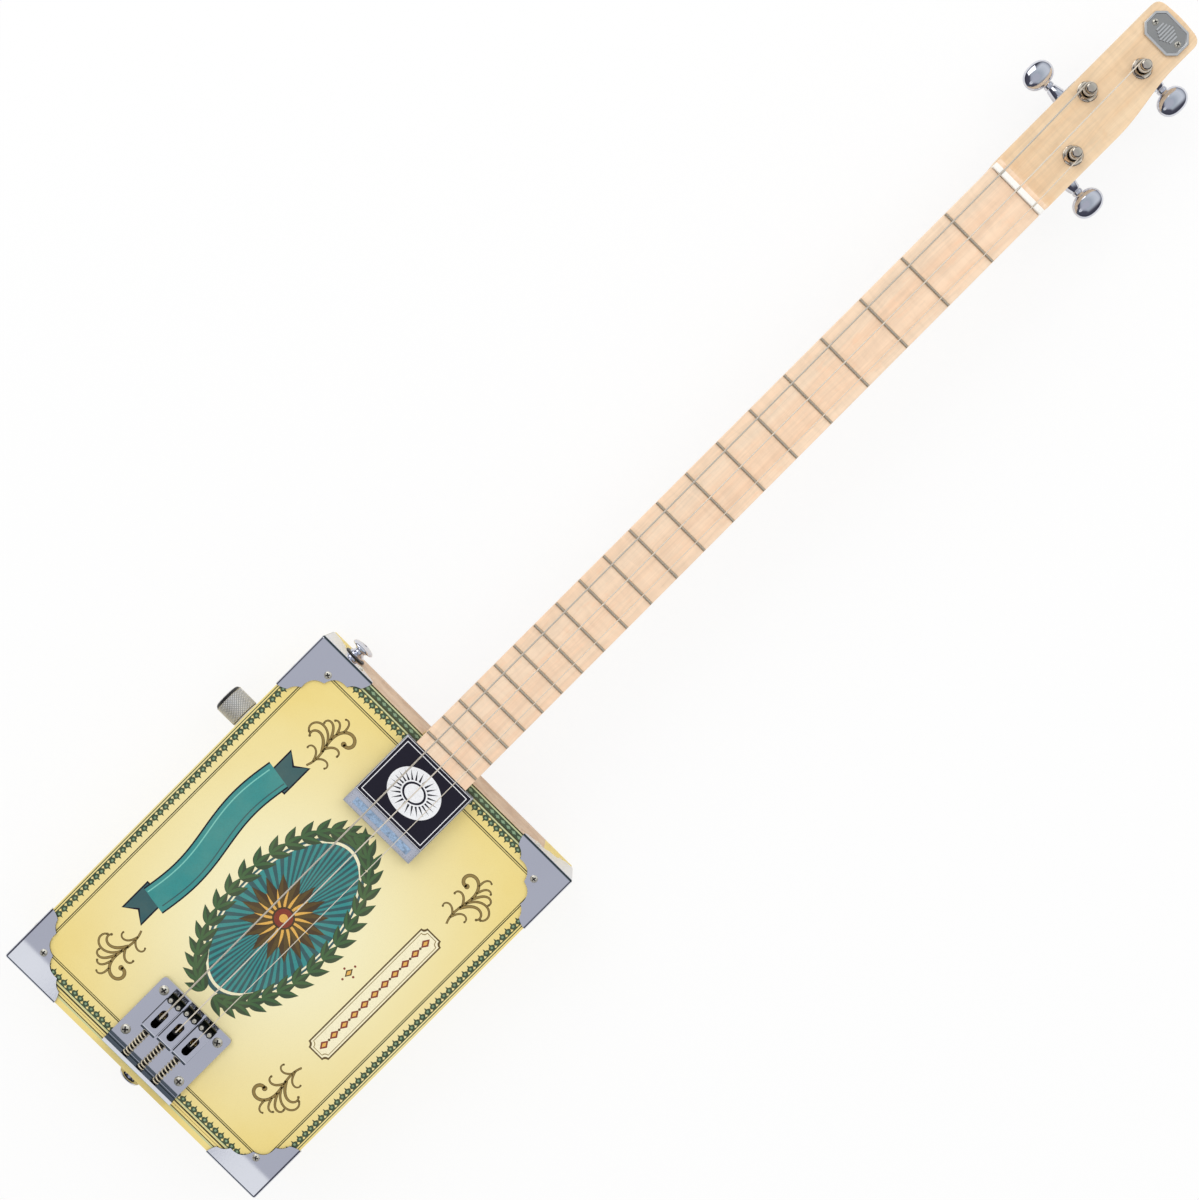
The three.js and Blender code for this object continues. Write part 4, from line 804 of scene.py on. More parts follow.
lidPrint = {
    "layer": 0.000006, "lift": 0.0000002,
    "flourishes": ((-53, 85, -1, 1), (-53, -80, -1, -1), (64, 77, 1, 1), (64, -72, 1, -1)), "flourishEdge": 0.16,
    # The main stroke: x, y, heading, length, bend at its start and end, width at its start and end
    "stem": (0.0, -17.5, 118, 46, -0.075, 0.36, 0.9, 1.9),
    # Its branches: share of the stem, turn off it, then as above
    "branches": ((0.10, -28, 13, -0.02, -0.55, 1.1, 0.6), (0.14, 34, 11, 0.06, 0.62, 1.0, 0.6),
                 (0.26, -24, 19, -0.01, -0.42, 1.8, 0.8), (0.30, 38, 12, 0.03, 0.55, 1.3, 0.7),
                 (0.44, -30, 15, 0.05, -0.55, 1.5, 0.7), (0.52, -34, 10, 0.05, -0.60, 1.2, 0.7),
                 (0.62, -40, 9, 0.02, -0.62, 1.1, 0.6), (0.34, -12, 24, -0.06, -0.30, 1.2, 0.8)),
    "medallion": {"centre": (-2, -2), "reach": (31, 58), "rays": 56, "leaves": 17, "leaf": (12, 5.2),
                  "petals": 16, "outerPetal": (6, 19, 6.8), "innerPetal": (3, 14, 4.4)},
    "ribbon": {"x": -60, "low": -46, "high": 53, "sway": 2.6, "half": 8.0, "edge": 0.9, "tail": 14, "line": 5.6},
    "panel": {"centre": (63.6, 3.4), "half": (6.8, 46), "notch": 2.4, "diamonds": 11, "pitch": 8},
    "border": {"lines": ((-94.9, 0.5, "green"), (-86.4, 0.6, "darkGreen"), (-85.4, 0.5, "olive"),
                         (94.5, 0.5, "green"), (86.0, 0.6, "darkGreen"), (85.0, 0.5, "olive")),
               "rows": ((124.6, 0.8, "darkGreen"), (123.8, 0.7, "paleGreen"), (120.1, 0.7, "darkGreen"),
                        (119.3, 0.7, "paleGreen"), (111.6, 0.6, "darkGreen"), (110.5, 0.5, "olive"),
                        (-106.8, 0.5, "olive"), (-107.8, 0.6, "darkGreen"), (-116.0, 0.6, "paleGreen"),
                        (-117.2, 0.9, "darkGreen"), (-120.5, 0.55, "darkGreen"), (-121.4, 0.8, "paleGreen")),
               "band": (-94.5, 94.5, 120.4, 123.5), "across": 43, "along": 54, "base": (118.9, -115.6, -93.9, 93.5)},
    "palmette": ((-2.1, 0.0), (2.1, 0.0), (2.0, 0.6), (1.1, 0.9), (1.9, 1.7), (2.1, 2.5), (1.35, 3.3), (0.6, 3.5),
                 (0.0, 5.1), (-0.6, 3.5), (-1.35, 3.3), (-2.1, 2.5), (-1.9, 1.7), (-1.1, 0.9), (-2.0, 0.6)),
}


def makePrintRow():
    # One run of this group sets a motif on every point, turned by the point's own turn
    group, entry, identifiers = startGroup("print_row", {"Points": "Object", "Motif": "Object", "Lift": "Float",
                                                         "Material": "Material"})
    points = addNode(group, "GeometryNodeObjectInfo", {"Object": entry["Points"]}).outputs["Geometry"]
    index = addNode(group, "GeometryNodeInputIndex").outputs[0]
    lift = joined(group, Z=times(group, index, entry["Lift"]))
    lifted = addNode(group, "GeometryNodeSetPosition", {"Geometry": points, "Offset": lift}).outputs[0]
    own = addNode(group, "GeometryNodeInputNamedAttribute", {"Name": "turn"}, data_type="FLOAT")
    turn = joined(group, Z=own.outputs["Attribute"])
    setOnPoints(group, lifted, entry["Motif"], entry["Material"], Rotation=turn)
    return group, identifiers


printRow = makePrintRow()


def inkMesh(name, outlines, z, lift=0.0):
    # Flat faces that look up, each a little above the one before
    mesh = bmesh.new()
    for i, outline in enumerate(outlines):
        mesh.faces.new([mesh.verts.new((x / 1000, y / 1000, z + lift * i)) for x, y in outline])
    bmesh.ops.remove_doubles(mesh, verts=mesh.verts, dist=tiny / 100)
    bmesh.ops.triangulate(mesh, faces=mesh.faces)
    for face in mesh.faces:
        if face.normal.z < 0:
            face.normal_flip()
    return toMesh(name, mesh)


def layerHeight(layer):
    return lidTop + lidPrint["layer"] * (layer + 1)


def layersOf(places):
    # How many layers a row of lifted motifs takes
    return round(len(places) * lidPrint["lift"] / lidPrint["layer"])


def printLayer(name, outlines, ink, layer, lift=0.0):
    mesh = inkMesh(name, outlines, layerHeight(layer), lift)
    newPiece("print_" + name, mesh, "ink_" + ink)


def printMotifs(name, outline, places, ink, layer):
    z = layerHeight(layer)
    motif = helper(name + "_motif", inkMesh(name + "_motif", [outline], 0.0))
    data = bpy.data.meshes.new(name + "_points")
    data.from_pydata([(x / 1000, y / 1000, z) for x, y, turn in places], [], [])
    turns = data.attributes.new("turn", "FLOAT", "POINT")
    turns.data.foreach_set("value", [radians(turn) for x, y, turn in places])
    points = helper(name + "_points", data)
    values = {"Points": points, "Motif": motif, "Lift": lidPrint["lift"], "Material": materials["ink_" + ink]}
    runGroup("print_" + name, *printRow, values, "papered_wood", motif, points)


def penStroke(x, y, heading, length, bendStart, bendEnd, widthStart, widthEnd, steps=30):
    # A curve that bends more and more, as (x, y, angle, half width)
    angle = radians(heading)
    path = [(x, y, angle, widthStart / 2)]
    for k in range(1, steps + 1):
        share = k / steps
        angle += (bendStart + (bendEnd - bendStart) * share ** 1.6) * length / steps
        x += cos(angle) * length / steps
        y += sin(angle) * length / steps
        path.append((x, y, angle, (widthStart + (widthEnd - widthStart) * share) / 2))
    return path


def bandOutlines(path, grow=0.0):
    left = [(x - sin(a) * (w + grow), y + cos(a) * (w + grow)) for x, y, a, w in path]
    right = [(x + sin(a) * (w + grow), y - cos(a) * (w + grow)) for x, y, a, w in path]
    return [[left[i], left[i + 1], right[i + 1], right[i]] for i in range(len(path) - 1)]


def onOval(x, y, reachX, reachY, share, angle):
    return (x + reachX * share * cos(angle), y + reachY * share * sin(angle))


def ovalOutline(x, y, reachX, reachY, steps=24, share=1.0):
    return [onOval(x, y, reachX, reachY, share, tau * k / steps) for k in range(steps)]


def sectors(oval, count, *corners):
    # The same outline all round an oval, its corners as (share of the reach, step)
    return [[onOval(*oval, share, tau * (k + turn) / count) for share, turn in corners] for k in range(count)]


def dotOutline(radius, steps=12, y=0.0):
    return ovalOutline(0, y, radius, radius, steps)


def diamond(x, y, halfX, halfY):
    return [(x - halfX, y), (x, y - halfY), (x + halfX, y), (x, y + halfY)]


def leafOutlines(start, length, width, steps=9):
    # A pointed leaf along +X from its start, whole and its lit half
    side = []
    for k in range(steps + 1):
        share = k / steps
        side.append((start + share * length, width / 2 * sin(pi * share ** 0.8) * (1 - 0.25 * share)))
    whole = side + [(x, -y) for x, y in reversed(side[1:-1])]
    return whole, [(x, y * 0.78 + 0.02) for x, y in side]


def flourishes():
    stem = penStroke(*lidPrint["stem"], 44)
    strokes = [stem]
    for share, turn, *rest in lidPrint["branches"]:
        x, y, angle, half = stem[round(share * (len(stem) - 1))]
        strokes.append(penStroke(x, y, degrees(angle) + turn, *rest))
    edge = lidPrint["flourishEdge"]
    for name, ink, grow, layer in (("flourish_edge", "brown", edge, 1), ("flourish_fill", "brownLight", -edge, 2)):
        outlines = []
        for stroke in strokes:
            x, y, angle, half = stroke[-1]
            knob = half * 1.5 + grow
            outlines += bandOutlines(stroke, grow) + [ovalOutline(x, y, knob, knob, 14)]
        placed = [[(x0 + signX * x, y0 + signY * y) for x, y in outline]
                  for x0, y0, signX, signY in lidPrint["flourishes"] for outline in outlines]
        printLayer(name, placed, ink, layer)


def medallion():
    size = lidPrint["medallion"]
    x0, y0 = size["centre"]
    reachX, reachY = size["reach"]
    oval = (x0, y0, reachX, reachY)

    printLayer("oval", [ovalOutline(*oval, 96, 0.97)], "tealDark", 0)
    printLayer("rays", sectors(oval, size["rays"], (0.1, 0), (0.1, 0.5), (0.93, 0.5), (0.93, 0)), "teal", 1)
    printLayer("ring", sectors(oval, 96, (0.9, 0), (0.93, 0), (0.93, 1), (0.9, 1)), "cream", 2)

    places = []
    for side in (1, -1):
        for k in range(size["leaves"]):
            angle = -pi / 2 + side * pi * (k + 0.5) / size["leaves"] * 0.985
            x, y = onOval(*oval, 1.03, angle)
            heading = degrees(atan2(reachY * cos(angle), -reachX * sin(angle)))
            heading += 0 if side > 0 else 180
            places += [(x, y, heading + turn) for turn in (34, -34, 0)]
    whole, lit = leafOutlines(0, *size["leaf"])
    printMotifs("leaf", whole, places, "green", 3)
    printMotifs("leaf_light", lit, places, "greenMid", 4 + layersOf(places))

    for name, phase, dark, light, layer in (("outer", 0.0, "umber", "brown", 10), ("inner", 0.5, "brown", "gold", 12)):
        places = [(x0, y0, 360 * (k + phase) / size["petals"]) for k in range(size["petals"])]
        whole, lit = leafOutlines(*size[name + "Petal"])
        printMotifs("petal_" + name, whole, places, dark, layer)
        printMotifs("petal_light_" + name, lit, places, light, layer + 1)
    for name, radius, ink, layer in (("hub", 6.4, "umber", 14), ("hub_red", 5.4, "darkRed", 15),
                                     ("hub_gold", 2.4, "gold", 16)):
        printLayer(name, [ovalOutline(x0, y0, radius, radius, 40)], ink, layer)


def ribbon():
    size = lidPrint["ribbon"]
    low = size["low"]
    high = size["high"]
    steps = 40

    def wave(offset, half, grow, trim=0.0):
        path = []
        for k in range(steps + 1):
            x, slope = size["sway"] * sin(tau * k / steps), size["sway"] * cos(tau * k / steps)
            y = low + trim + (high - low - 2 * trim) * k / steps
            path.append((size["x"] + offset + x, y, atan2(1, slope * tau / (high - low)), half))
        return bandOutlines(path, grow)

    def tails(grow):
        # The folded ends lie behind, to one side, each cut in a notch
        half = size["half"] - 1.4
        outlines = []
        for y, up in ((low, -1), (high, 1)):
            start = y - up * (size["tail"] * 0.35 + grow)
            end = y + up * (size["tail"] + grow)
            notch = y + up * (size["tail"] * 0.58 + grow * 1.6)
            middleX = size["x"] + up * half * 0.38
            for side in (-1, 1):
                edge = middleX + side * (half + grow)
                outlines.append([(edge, start), (middleX, start), (middleX, notch), (edge, end)])
        return outlines

    for layer, (name, outlines, ink) in enumerate((
            ("tail_edge", tails(size["edge"]), "navy"), ("tail_fill", tails(0.0), "tealDark"),
            ("ribbon_edge", wave(0, size["half"], size["edge"]), "navy"),
            ("ribbon_fill", wave(0, size["half"], 0.0), "teal"),
            ("ribbon_light", wave(-size["line"], 0.35, 0.0, 1.5), "tealLight"),
            ("ribbon_shade", wave(size["line"], 0.35, 0.0, 1.5), "tealDark"))):
        printLayer(name, outlines, ink, layer)


def panel():
    size = lidPrint["panel"]
    x0, y0 = size["centre"]

    def outline(inset):
        x1 = size["half"][0] - inset
        y1 = size["half"][1] - inset
        r = size["notch"]
        corners = arc(-x1, -y1, r, pi / 2, 0, 7) + arc(x1, -y1, r, pi, pi / 2, 7)
        corners += arc(x1, y1, r, 1.5 * pi, pi, 7) + arc(-x1, y1, r, 0, -pi / 2, 7)
        return [(x0 + x, y0 + y) for x, y in corners]

    for layer, (inset, ink) in enumerate(((-0.9, "brown"), (0, "cream"), (0.9, "brownLight"), (1.3, "cream"))):
        printLayer(f"panel_{layer}", [outline(inset)], ink, layer)
    half = (size["diamonds"] - 1) / 2
    places = [(x0, y0 + size["pitch"] * (k - half), 0) for k in range(size["diamonds"])]
    printMotifs("diamond", diamond(0, 0, 2.3, 3.4), places, "darkRed", 4)
    printMotifs("diamond_core", diamond(0, 0, 1.1, 1.8), places, "gold", 5)
    between = [(x, y + size["pitch"] / 2, 0) for x, y, turn in places[:-1]]
    printMotifs("diamond_dot", dotOutline(0.75), between, "brown", 4)
    star = (45, 1.8)
    printLayer("star", [diamond(*star, 2.0, 3.2)], "brown", 0)
    printLayer("star_core", [diamond(*star, 1.1, 2.0)], "gold", 1)
    around = [(star[0] + x, star[1] + y, 0) for x, y in ((0, 5), (0, -5), (3.4, 0), (-3.4, 0))]
    printMotifs("star_dot", dotOutline(0.7), around, "darkRed", 0)


def border():
    size = lidPrint["border"]
    lines = [(rectangle(x - width / 2, x + width / 2, -118.4, 124.9), ink) for x, width, ink in size["lines"]]
    for reach, isOuter in ((95.8, True), (87, False)):
        lines += [(rectangle(-reach, reach, y - width / 2, y + width / 2), ink) for y, width, ink in size["rows"]
                  if (abs(y) > 112) == isOuter]
    for ink in sorted({ink for outline, ink in lines}):
        printLayer("border_" + ink, [outline for outline, own in lines if own == ink], ink, 2, lidPrint["lift"])
    printLayer("border_band", [rectangle(*size["band"])], "green", 1)
    across = [-88.2 + 176.4 * k / (size["across"] - 1) for k in range(size["across"])]
    along = [-109 + 223 * k / (size["along"] - 1) for k in range(size["along"])]
    printMotifs("lozenge", diamond(0, 0, 1.7, 0.9), [(x, 121.9, 0) for x in across], "greenLight", 3)
    neckBase, tailBase, leftBase, rightBase = size["base"]
    places = [(x, neckBase, 180) for x in across] + [(x, tailBase, 0) for x in across]
    places += [(leftBase, y, -90) for y in along] + [(rightBase, y, 90) for y in along]
    printMotifs("palmette", lidPrint["palmette"], places, "green", 1)
    printMotifs("palmette_dot", dotOutline(0.7, 10, 2.2), places, "greenLight", 2 + layersOf(places))


flourishes()
medallion()
ribbon()
panel()
border()
print("lid printed")


# Corner protectors: a folded scalloped sheet with rounded folds


def corners():
    sheet = {"leg": 0.037, "thickness": 0.0008, "fold": 0.0015, "curveSteps": 7,
             "cusps": ((1, 0), (0.935, 0.162), (0.773, 0.292), (0.492, 0.492), (0.292, 0.773), (0.162, 0.935), (0, 1)),
             "bulges": (0.05, -0.12, -0.22, -0.22, -0.12, 0.05)}
    leg = sheet["leg"]
    cusps = [Vector(cusp) * leg for cusp in sheet["cusps"]]
    edge = []
    for a, b, bulge in zip(cusps, cusps[1:], sheet["bulges"]):
        chord = b - a
        out = Vector((chord.y, -chord.x))
        for step in range(sheet["curveSteps"]):
            share = step / sheet["curveSteps"]
            edge.append(a + chord * share + out * (4 * bulge * share * (1 - share)))
    faces = (lambda u, v: (u, v, 0), lambda u, v: (0, v, -u), lambda u, v: (u, 0, -v))  # lid, side and end
    for name, signX, signY in (("corner_neck_left", 1, -1), ("corner_neck_right", -1, -1),
                               ("corner_tail_left", 1, 1), ("corner_tail_right", -1, 1)):
        low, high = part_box(name)
        origin = Vector((low.x if signX > 0 else high.x, low.y if signY > 0 else high.y, high.z))
        mesh = bmesh.new()
        skin = high.z - lidTop
        outline = [(0, 0), (leg + skin, 0)] + [(p.x + skin, p.y + skin) for p in edge[1:]] + [(0, leg + skin)]
        for face in faces:
            placed = [face(u, v) for u, v in outline]
            mesh.faces.new([mesh.verts.new((origin.x + signX * x, origin.y + signY * y, origin.z + z))
                            for x, y, z in placed])
        bmesh.ops.remove_doubles(mesh, verts=mesh.verts, dist=tiny)
        bevelSharp(mesh, sheet["fold"], 5, 60.0)
        piece = newPiece(name + "_sheet", mesh, "corner", mainBody, name)
        thick = piece.modifiers.new("thick", "SOLIDIFY")
        thick.thickness = sheet["thickness"]
        thick.offset = -1.0
        applyModifiers(piece)


# Small screws with a crossed dome head


recessShade = bmesh.new()  # painted shade: dark pieces at the bottoms of all crossed recesses


def addScrew(mesh, place, axis, radius, height, turn=0.3):
    matrix = axisMatrix(axis, place, turn)
    foot = -0.0002
    dome = [(radius * sin(pi / 2 * k / 6), height * cos(pi / 2 * k / 6)) for k in range(1, 7)]
    head = lathe([(0, height)] + dome + [(radius, foot), (0, foot)], 24, axis, place, turn)
    slot = radius * 0.62
    width = radius * 0.17
    cuts = []
    for a, b in ((slot, width), (width, slot)):
        cutter = boxMesh((-a, -b, height * 0.35), (a, b, height * 2))
        move(cutter, matrix)
        cuts.append(cutter)
    arms = [(slot, width), (width, width), (width, slot), (-width, slot), (-width, width), (-slot, width),
            (-slot, -width), (-width, -width), (-width, -slot), (width, -slot), (width, -width), (slot, -width)]
    # A dark piece of painted shade sits in the recess's bottom
    made = addPrism(recessShade, [(x * 0.97, y * 0.97) for x, y in arms], height * 0.3, height * 0.42)
    bmesh.ops.transform(recessShade, matrix=matrix, verts=made)
    data = toMesh("screw", combined(head, cuts))
    mesh.from_mesh(data)
    bpy.data.meshes.remove(data)


def smallScrews():
    sizes = {"radius": 0.0022, "height": 0.0010, "sideDepth": 0.0135, "endPlace": 0.0265, "endDepth": 0.0084,
             "lidPlaces": ((-0.0794, 0.1115), (0.0806, 0.1116), (-0.0826, -0.1091), (0.0812, -0.1081)),
             "sidePlaces": (0.0995, 0.0973, -0.1057, -0.1125)}
    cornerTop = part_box("corner_neck_left")[1].z
    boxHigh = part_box("back_board")[1]
    skin = cornerTop - lidTop
    mesh = bmesh.new()
    sideMesh = bmesh.new()
    for (x, y), sideY in zip(sizes["lidPlaces"], sizes["sidePlaces"]):
        signX = copysign(1, x)
        signY = copysign(1, y)
        sidePlace = (signX * (boxHigh.x + skin), sideY, cornerTop - sizes["sideDepth"])
        endPlace = (signX * (boxHigh.x - sizes["endPlace"]), signY * (boxHigh.y + skin), cornerTop - sizes["endDepth"])
        for target, place, axis, turn in ((mesh, (x, y, cornerTop), upwards, signX + 2 * signY),
                                          (sideMesh, sidePlace, (signX, 0, 0), 0.4 * signY),
                                          (sideMesh, endPlace, (0, signY, 0), 0.7 * signX)):
            addScrew(target, place, axis, sizes["radius"], sizes["height"], turn)
    newPiece("corner_screws", mesh, "screw")
    newPiece("corner_side_screws", sideMesh, "screw")


box()
corners()
smallScrews()
print("box and corners dressed")


# Neck


def neckSection(y, steps, size):
    along = min((y - boxEnd) / size["reach"], 1.0)
    half = (size["boxWidth"] + (size["nutWidth"] - size["boxWidth"]) * max(along, 0.0)) / 2
    ends = min(y - boxEnd, size["ledge"] - y) / size["heel"]
    share = min(max(ends, 0.0), 1.0)
    square, rounded = size["roundness"]
    power = square + (rounded - square) * share * share * (3 - 2 * share)
    depth = size["top"] - size["bottom"] - size["flank"]
    points = [(-half, y, size["top"]), (half, y, size["top"])]
    for i in range(steps + 1):
        angle = pi * i / steps
        across = copysign(abs(cos(angle)) ** power, cos(angle)) if i * 2 != steps else 0.0
        points.append((half * across, y, size["top"] - size["flank"] - depth * sin(angle) ** power))
    return points


def bezier(points, steps):
    # The curve's points without its first one
    result = []
    for k in range(1, steps + 1):
        level = [Vector(p) for p in points]
        while len(level) > 1:
            level = [a.lerp(b, k / steps) for a, b in zip(level, level[1:])]
        result.append(tuple(level[0]))
    return result


def headOutline(size, head, tip):
    half = head["width"] / 2
    tipRight = head["tipCentre"] + head["tipWidth"] / 2
    shoulder = size["ledge"] + head["shoulder"]
    curveEnd = shoulder + head["curve"]
    cornerTop = tip - head["crown"] / 2
    cornerFoot = cornerTop - head["cornerLength"]
    cornerX = head["cornerWidth"] - half
    foot = size["ledge"] - head["ledge"]
    wide = size["ledge"] + head["ledge"]
    return [(-size["nutWidth"] / 2, foot), (size["nutWidth"] / 2, foot), (half, wide), (half, shoulder),
            *bezier([(half, shoulder), (half, shoulder + head["curve"] * head["pullOut"]),
                     (tipRight, curveEnd - head["curve"] * head["pullIn"]), (tipRight, curveEnd)], 12),
            (tipRight, cornerFoot),
            *bezier([(tipRight, cornerFoot), (tipRight, cornerTop), (tipRight - head["cornerWidth"], cornerTop)], 6),
            *bezier([(tipRight - head["cornerWidth"], cornerTop), (head["tipCentre"], tip + head["crown"] / 2),
                     (cornerX, cornerTop)], 6),
            *bezier([(cornerX, cornerTop), (-half, cornerTop), (-half, cornerFoot)], 6), (-half, wide)]


def neck():
    low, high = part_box("neck")
    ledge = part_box("fretboard")[1].y
    size = {"reach": 0.439, "boxWidth": 0.038, "nutWidth": 0.037, "ledge": ledge, "heel": 0.026,
            "flank": 0.004, "top": high.z, "bottom": low.z, "roundness": (0.18, 0.85), "bore": 0.0021}
    head = {"width": 0.0384, "drop": 0.005, "tipWidth": 0.033, "tipCentre": -0.0023, "shoulder": 0.058,
            "curve": 0.046, "pullOut": 0.35, "pullIn": 0.3, "cornerWidth": 0.008, "cornerLength": 0.006,
            "crown": 0.001, "ledge": 0.003, "edge": 0.0012, "stringHole": 0.015, "postHole": 0.0047}
    past = 0.001
    stations = [size["heel"] * k / 10 for k in range(11)]
    ys = [boxEnd + 0.0003 + s for s in stations] + [ledge - s for s in reversed(stations)]
    mesh = bmesh.new()
    stitch(mesh, [[mesh.verts.new(p) for p in neckSection(y, 28, size)] for y in ys], True)

    headMesh = prism(headOutline(size, head, high.y), low.z, high.z)
    profile = [(ledge, high.z + past)]
    profile += arc(ledge + head["drop"], high.z, head["drop"], pi, 1.5 * pi, 8)
    profile += [(high.y + past, high.z - head["drop"]), (high.y + past, high.z + past)]
    headMesh = combined(headMesh, [sidePrism(profile, -0.04, 0.04)])
    holes = []
    for name in ("left", "upper_right", "lower_right"):
        post = middle("tuner_post_" + name)
        holes.append(cylinder(head["postHole"], low.z - past, high.z, upwards, (post.x, post.y, 0)))
    headMesh = combined(headMesh, holes)
    bevelSharp(headMesh, head["edge"] * 0.6, 3, 40.0,
               lambda edge: all(v.co.y > ledge + head["drop"] for v in edge.verts)
               and abs(edge.verts[0].co.z - edge.verts[1].co.z) < tiny)
    newPiece("neck_and_head", combined(mesh, [headMesh], "UNION"), "maple", replaced="neck")
    # The beam inside the box
    half = size["boxWidth"] / 2
    beam = boxMesh((-half, low.y, low.z), (half, boxEnd + 0.0004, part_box("lid")[0].z - 0.0001))
    bores = []
    for i in (1, 2, 3):
        saddleHigh, x = saddlePlace(i)[1:]
        place = (x, saddleHigh.y - head["stringHole"], 0)
        bores.append(cylinder(size["bore"], low.z - past, 0.06, upwards, place))
    newPiece("neck_beam", combined(beam, bores), "maple")


def addFretRow(size, nutY, boardTop, reach):
    # The frets are one Geometry Nodes run: a row of points moved to their places, one wire on each
    half, height, foot = size["wire"]
    profile = [(x * half, y * height) for x, y in arc(0, 0, 1, 0, pi, 10)]
    source = helper("fret_wire_source", sidePrism(profile + [(-half, -foot), (half, -foot)], -0.5, 0.5))
    widthAtBody, widthAtNut = (size[key] - 2 * size["fretEnd"] for key in ("boxWidth", "nutWidth"))
    values = {"Wire": source, "Count": size["count"], "Scale Length": size["scale"], "Nut": nutY,
              "Board Top": boardTop, "Nut Width": widthAtNut, "Widening": (widthAtBody - widthAtNut) / reach,
              "Material": materials["fretWire"]}
    kinds = {key: {"Wire": "Object", "Count": "Int", "Material": "Material"}.get(key, "Float") for key in values}
    group, entry, identifiers = startGroup("fret_row", kinds)
    line = addNode(group, "GeometryNodeMeshLine", {"Count": entry["Count"]}).outputs["Mesh"]
    number = mathNode(group, "ADD", addNode(group, "GeometryNodeInputIndex").outputs[0], 1.0)
    power = mathNode(group, "POWER", 2.0, mathNode(group, "DIVIDE", number, -12.0))
    back = times(group, entry["Scale Length"], mathNode(group, "SUBTRACT", 1.0, power))
    y = mathNode(group, "SUBTRACT", entry["Nut"], back)
    place = joined(group, Y=y, Z=entry["Board Top"])
    moved = addNode(group, "GeometryNodeSetPosition", {"Geometry": line, "Position": place}).outputs[0]
    width = mathNode(group, "ADD", entry["Nut Width"], times(group, back, entry["Widening"]))
    setOnPoints(group, moved, entry["Wire"], entry["Material"], Scale=joined(group, X=width, Y=1.0, Z=1.0))
    runGroup("frets", group, identifiers, values, "fretboard_wood", source)


def fretboard():
    low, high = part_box("fretboard")
    nutLow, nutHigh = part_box("nut")
    size = {"thickness": 0.006, "boxWidth": 0.038, "nutWidth": 0.037, "edge": 0.0005, "scale": 0.635, "count": 20,
            "gap": 0.0003, "fretEnd": 0.0002, "wire": (0.00095, 0.001, 0.0004), "slotDepth": 0.0009,
            "slots": ((-0.0125, 0.00066), (0.0, 0.00055), (0.0125, 0.00045))}
    top = low.z - 0.0001 + size["thickness"]
    reach = nutLow.y - boxEnd
    gap = size["gap"]

    def half(y):
        share = min(max((y - boxEnd) / reach, 0.0), 1.0)
        return (size["boxWidth"] + (size["nutWidth"] - size["boxWidth"]) * share) / 2

    ys = [low.y, boxEnd, nutLow.y, high.y]
    mesh = prism([(half(y), y) for y in ys] + [(-half(y), y) for y in reversed(ys)], low.z, top)
    mesh = combined(mesh, [boxMesh((-0.03, nutLow.y - gap, nutLow.z - gap), (0.03, nutHigh.y + gap, 0.07))])
    bevelSharp(mesh, size["edge"], 2, 50.0)
    newPiece("fretboard_wood", mesh, "fretboard", replaced="fretboard")
    addFretRow(size, nutLow.y, top, reach)

    nut = boxMesh(nutLow, nutHigh)
    bevelSharp(nut, size["edge"], 3)
    cuts = [boxMesh((x - width, nutLow.y - 0.001, nutHigh.z - size["slotDepth"]), (x + width, nutHigh.y + 0.001, 0.07))
            for x, width in size["slots"]]
    newPiece("nut_block", combined(nut, cuts), "bone", replaced="nut")


def headPlate():
    low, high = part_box("head_plate")
    size = {"rim": 0.0014, "recess": 0.0005, "cut": 0.0046, "screwSpacing": 0.0175, "screwRadius": 0.0019,
            "screwHeight": 0.0011, "bars": 3, "barPitch": 0.0017, "barHalf": 0.0005, "barReach": 0.0052,
            "barDrop": 0.0008, "barHeight": 0.0006}
    centre = (low + high) / 2
    fieldTop = high.z - size["recess"]

    def outline(inset):
        w = (high.x - low.x) / 2 - inset
        h = (high.y - low.y) / 2 - inset
        cut = size["cut"] - inset * sqrt(2) * tan(pi / 8)
        corners = ((cut - w, -h), (w - cut, -h), (w, cut - h), (w, h - cut), (w - cut, h), (cut - w, h), (-w, h - cut),
                   (-w, cut - h))
        return [(centre.x + x, centre.y + y) for x, y in corners]

    mesh = combined(prism(outline(0), low.z, high.z), [prism(outline(size["rim"]), fieldTop, high.z + 0.001)])
    bevelSharp(mesh, 0.0002)
    newPiece("head_plate_face", mesh, "pewter", replaced="head_plate")
    cast = prism(outline(size["rim"] + 0.0003), fieldTop - 0.0001, fieldTop + 0.00012)
    newPiece("head_plate_field", cast, "pewterCast")
    # A plain fan of raised bars stands on the field
    bars = bmesh.new()
    half = size["barHalf"]
    for k in range(-size["bars"], size["bars"] + 1):
        x = centre.x + k * size["barPitch"]
        reachY = size["barReach"] - abs(k) * size["barDrop"]
        outlineOfBar = roundedOutline(x - half, x + half, centre.y - reachY, centre.y + reachY, half * 0.9, 4)
        addPrism(bars, outlineOfBar, fieldTop, fieldTop + size["barHeight"])
    bevelSharp(bars, 0.0001, 1, 50.0)
    newPiece("head_plate_bars", bars, "pewter")
    screws = bmesh.new()
    for side in (-1, 1):
        place = (centre.x + side * size["screwSpacing"] / 2, centre.y, fieldTop)
        addScrew(screws, place, upwards, size["screwRadius"], size["screwHeight"], side * 0.5)
    newPiece("head_plate_screws", screws, "screw")


neck()
fretboard()
headPlate()
print("neck, frets, nut and head plate made")


# Tuners


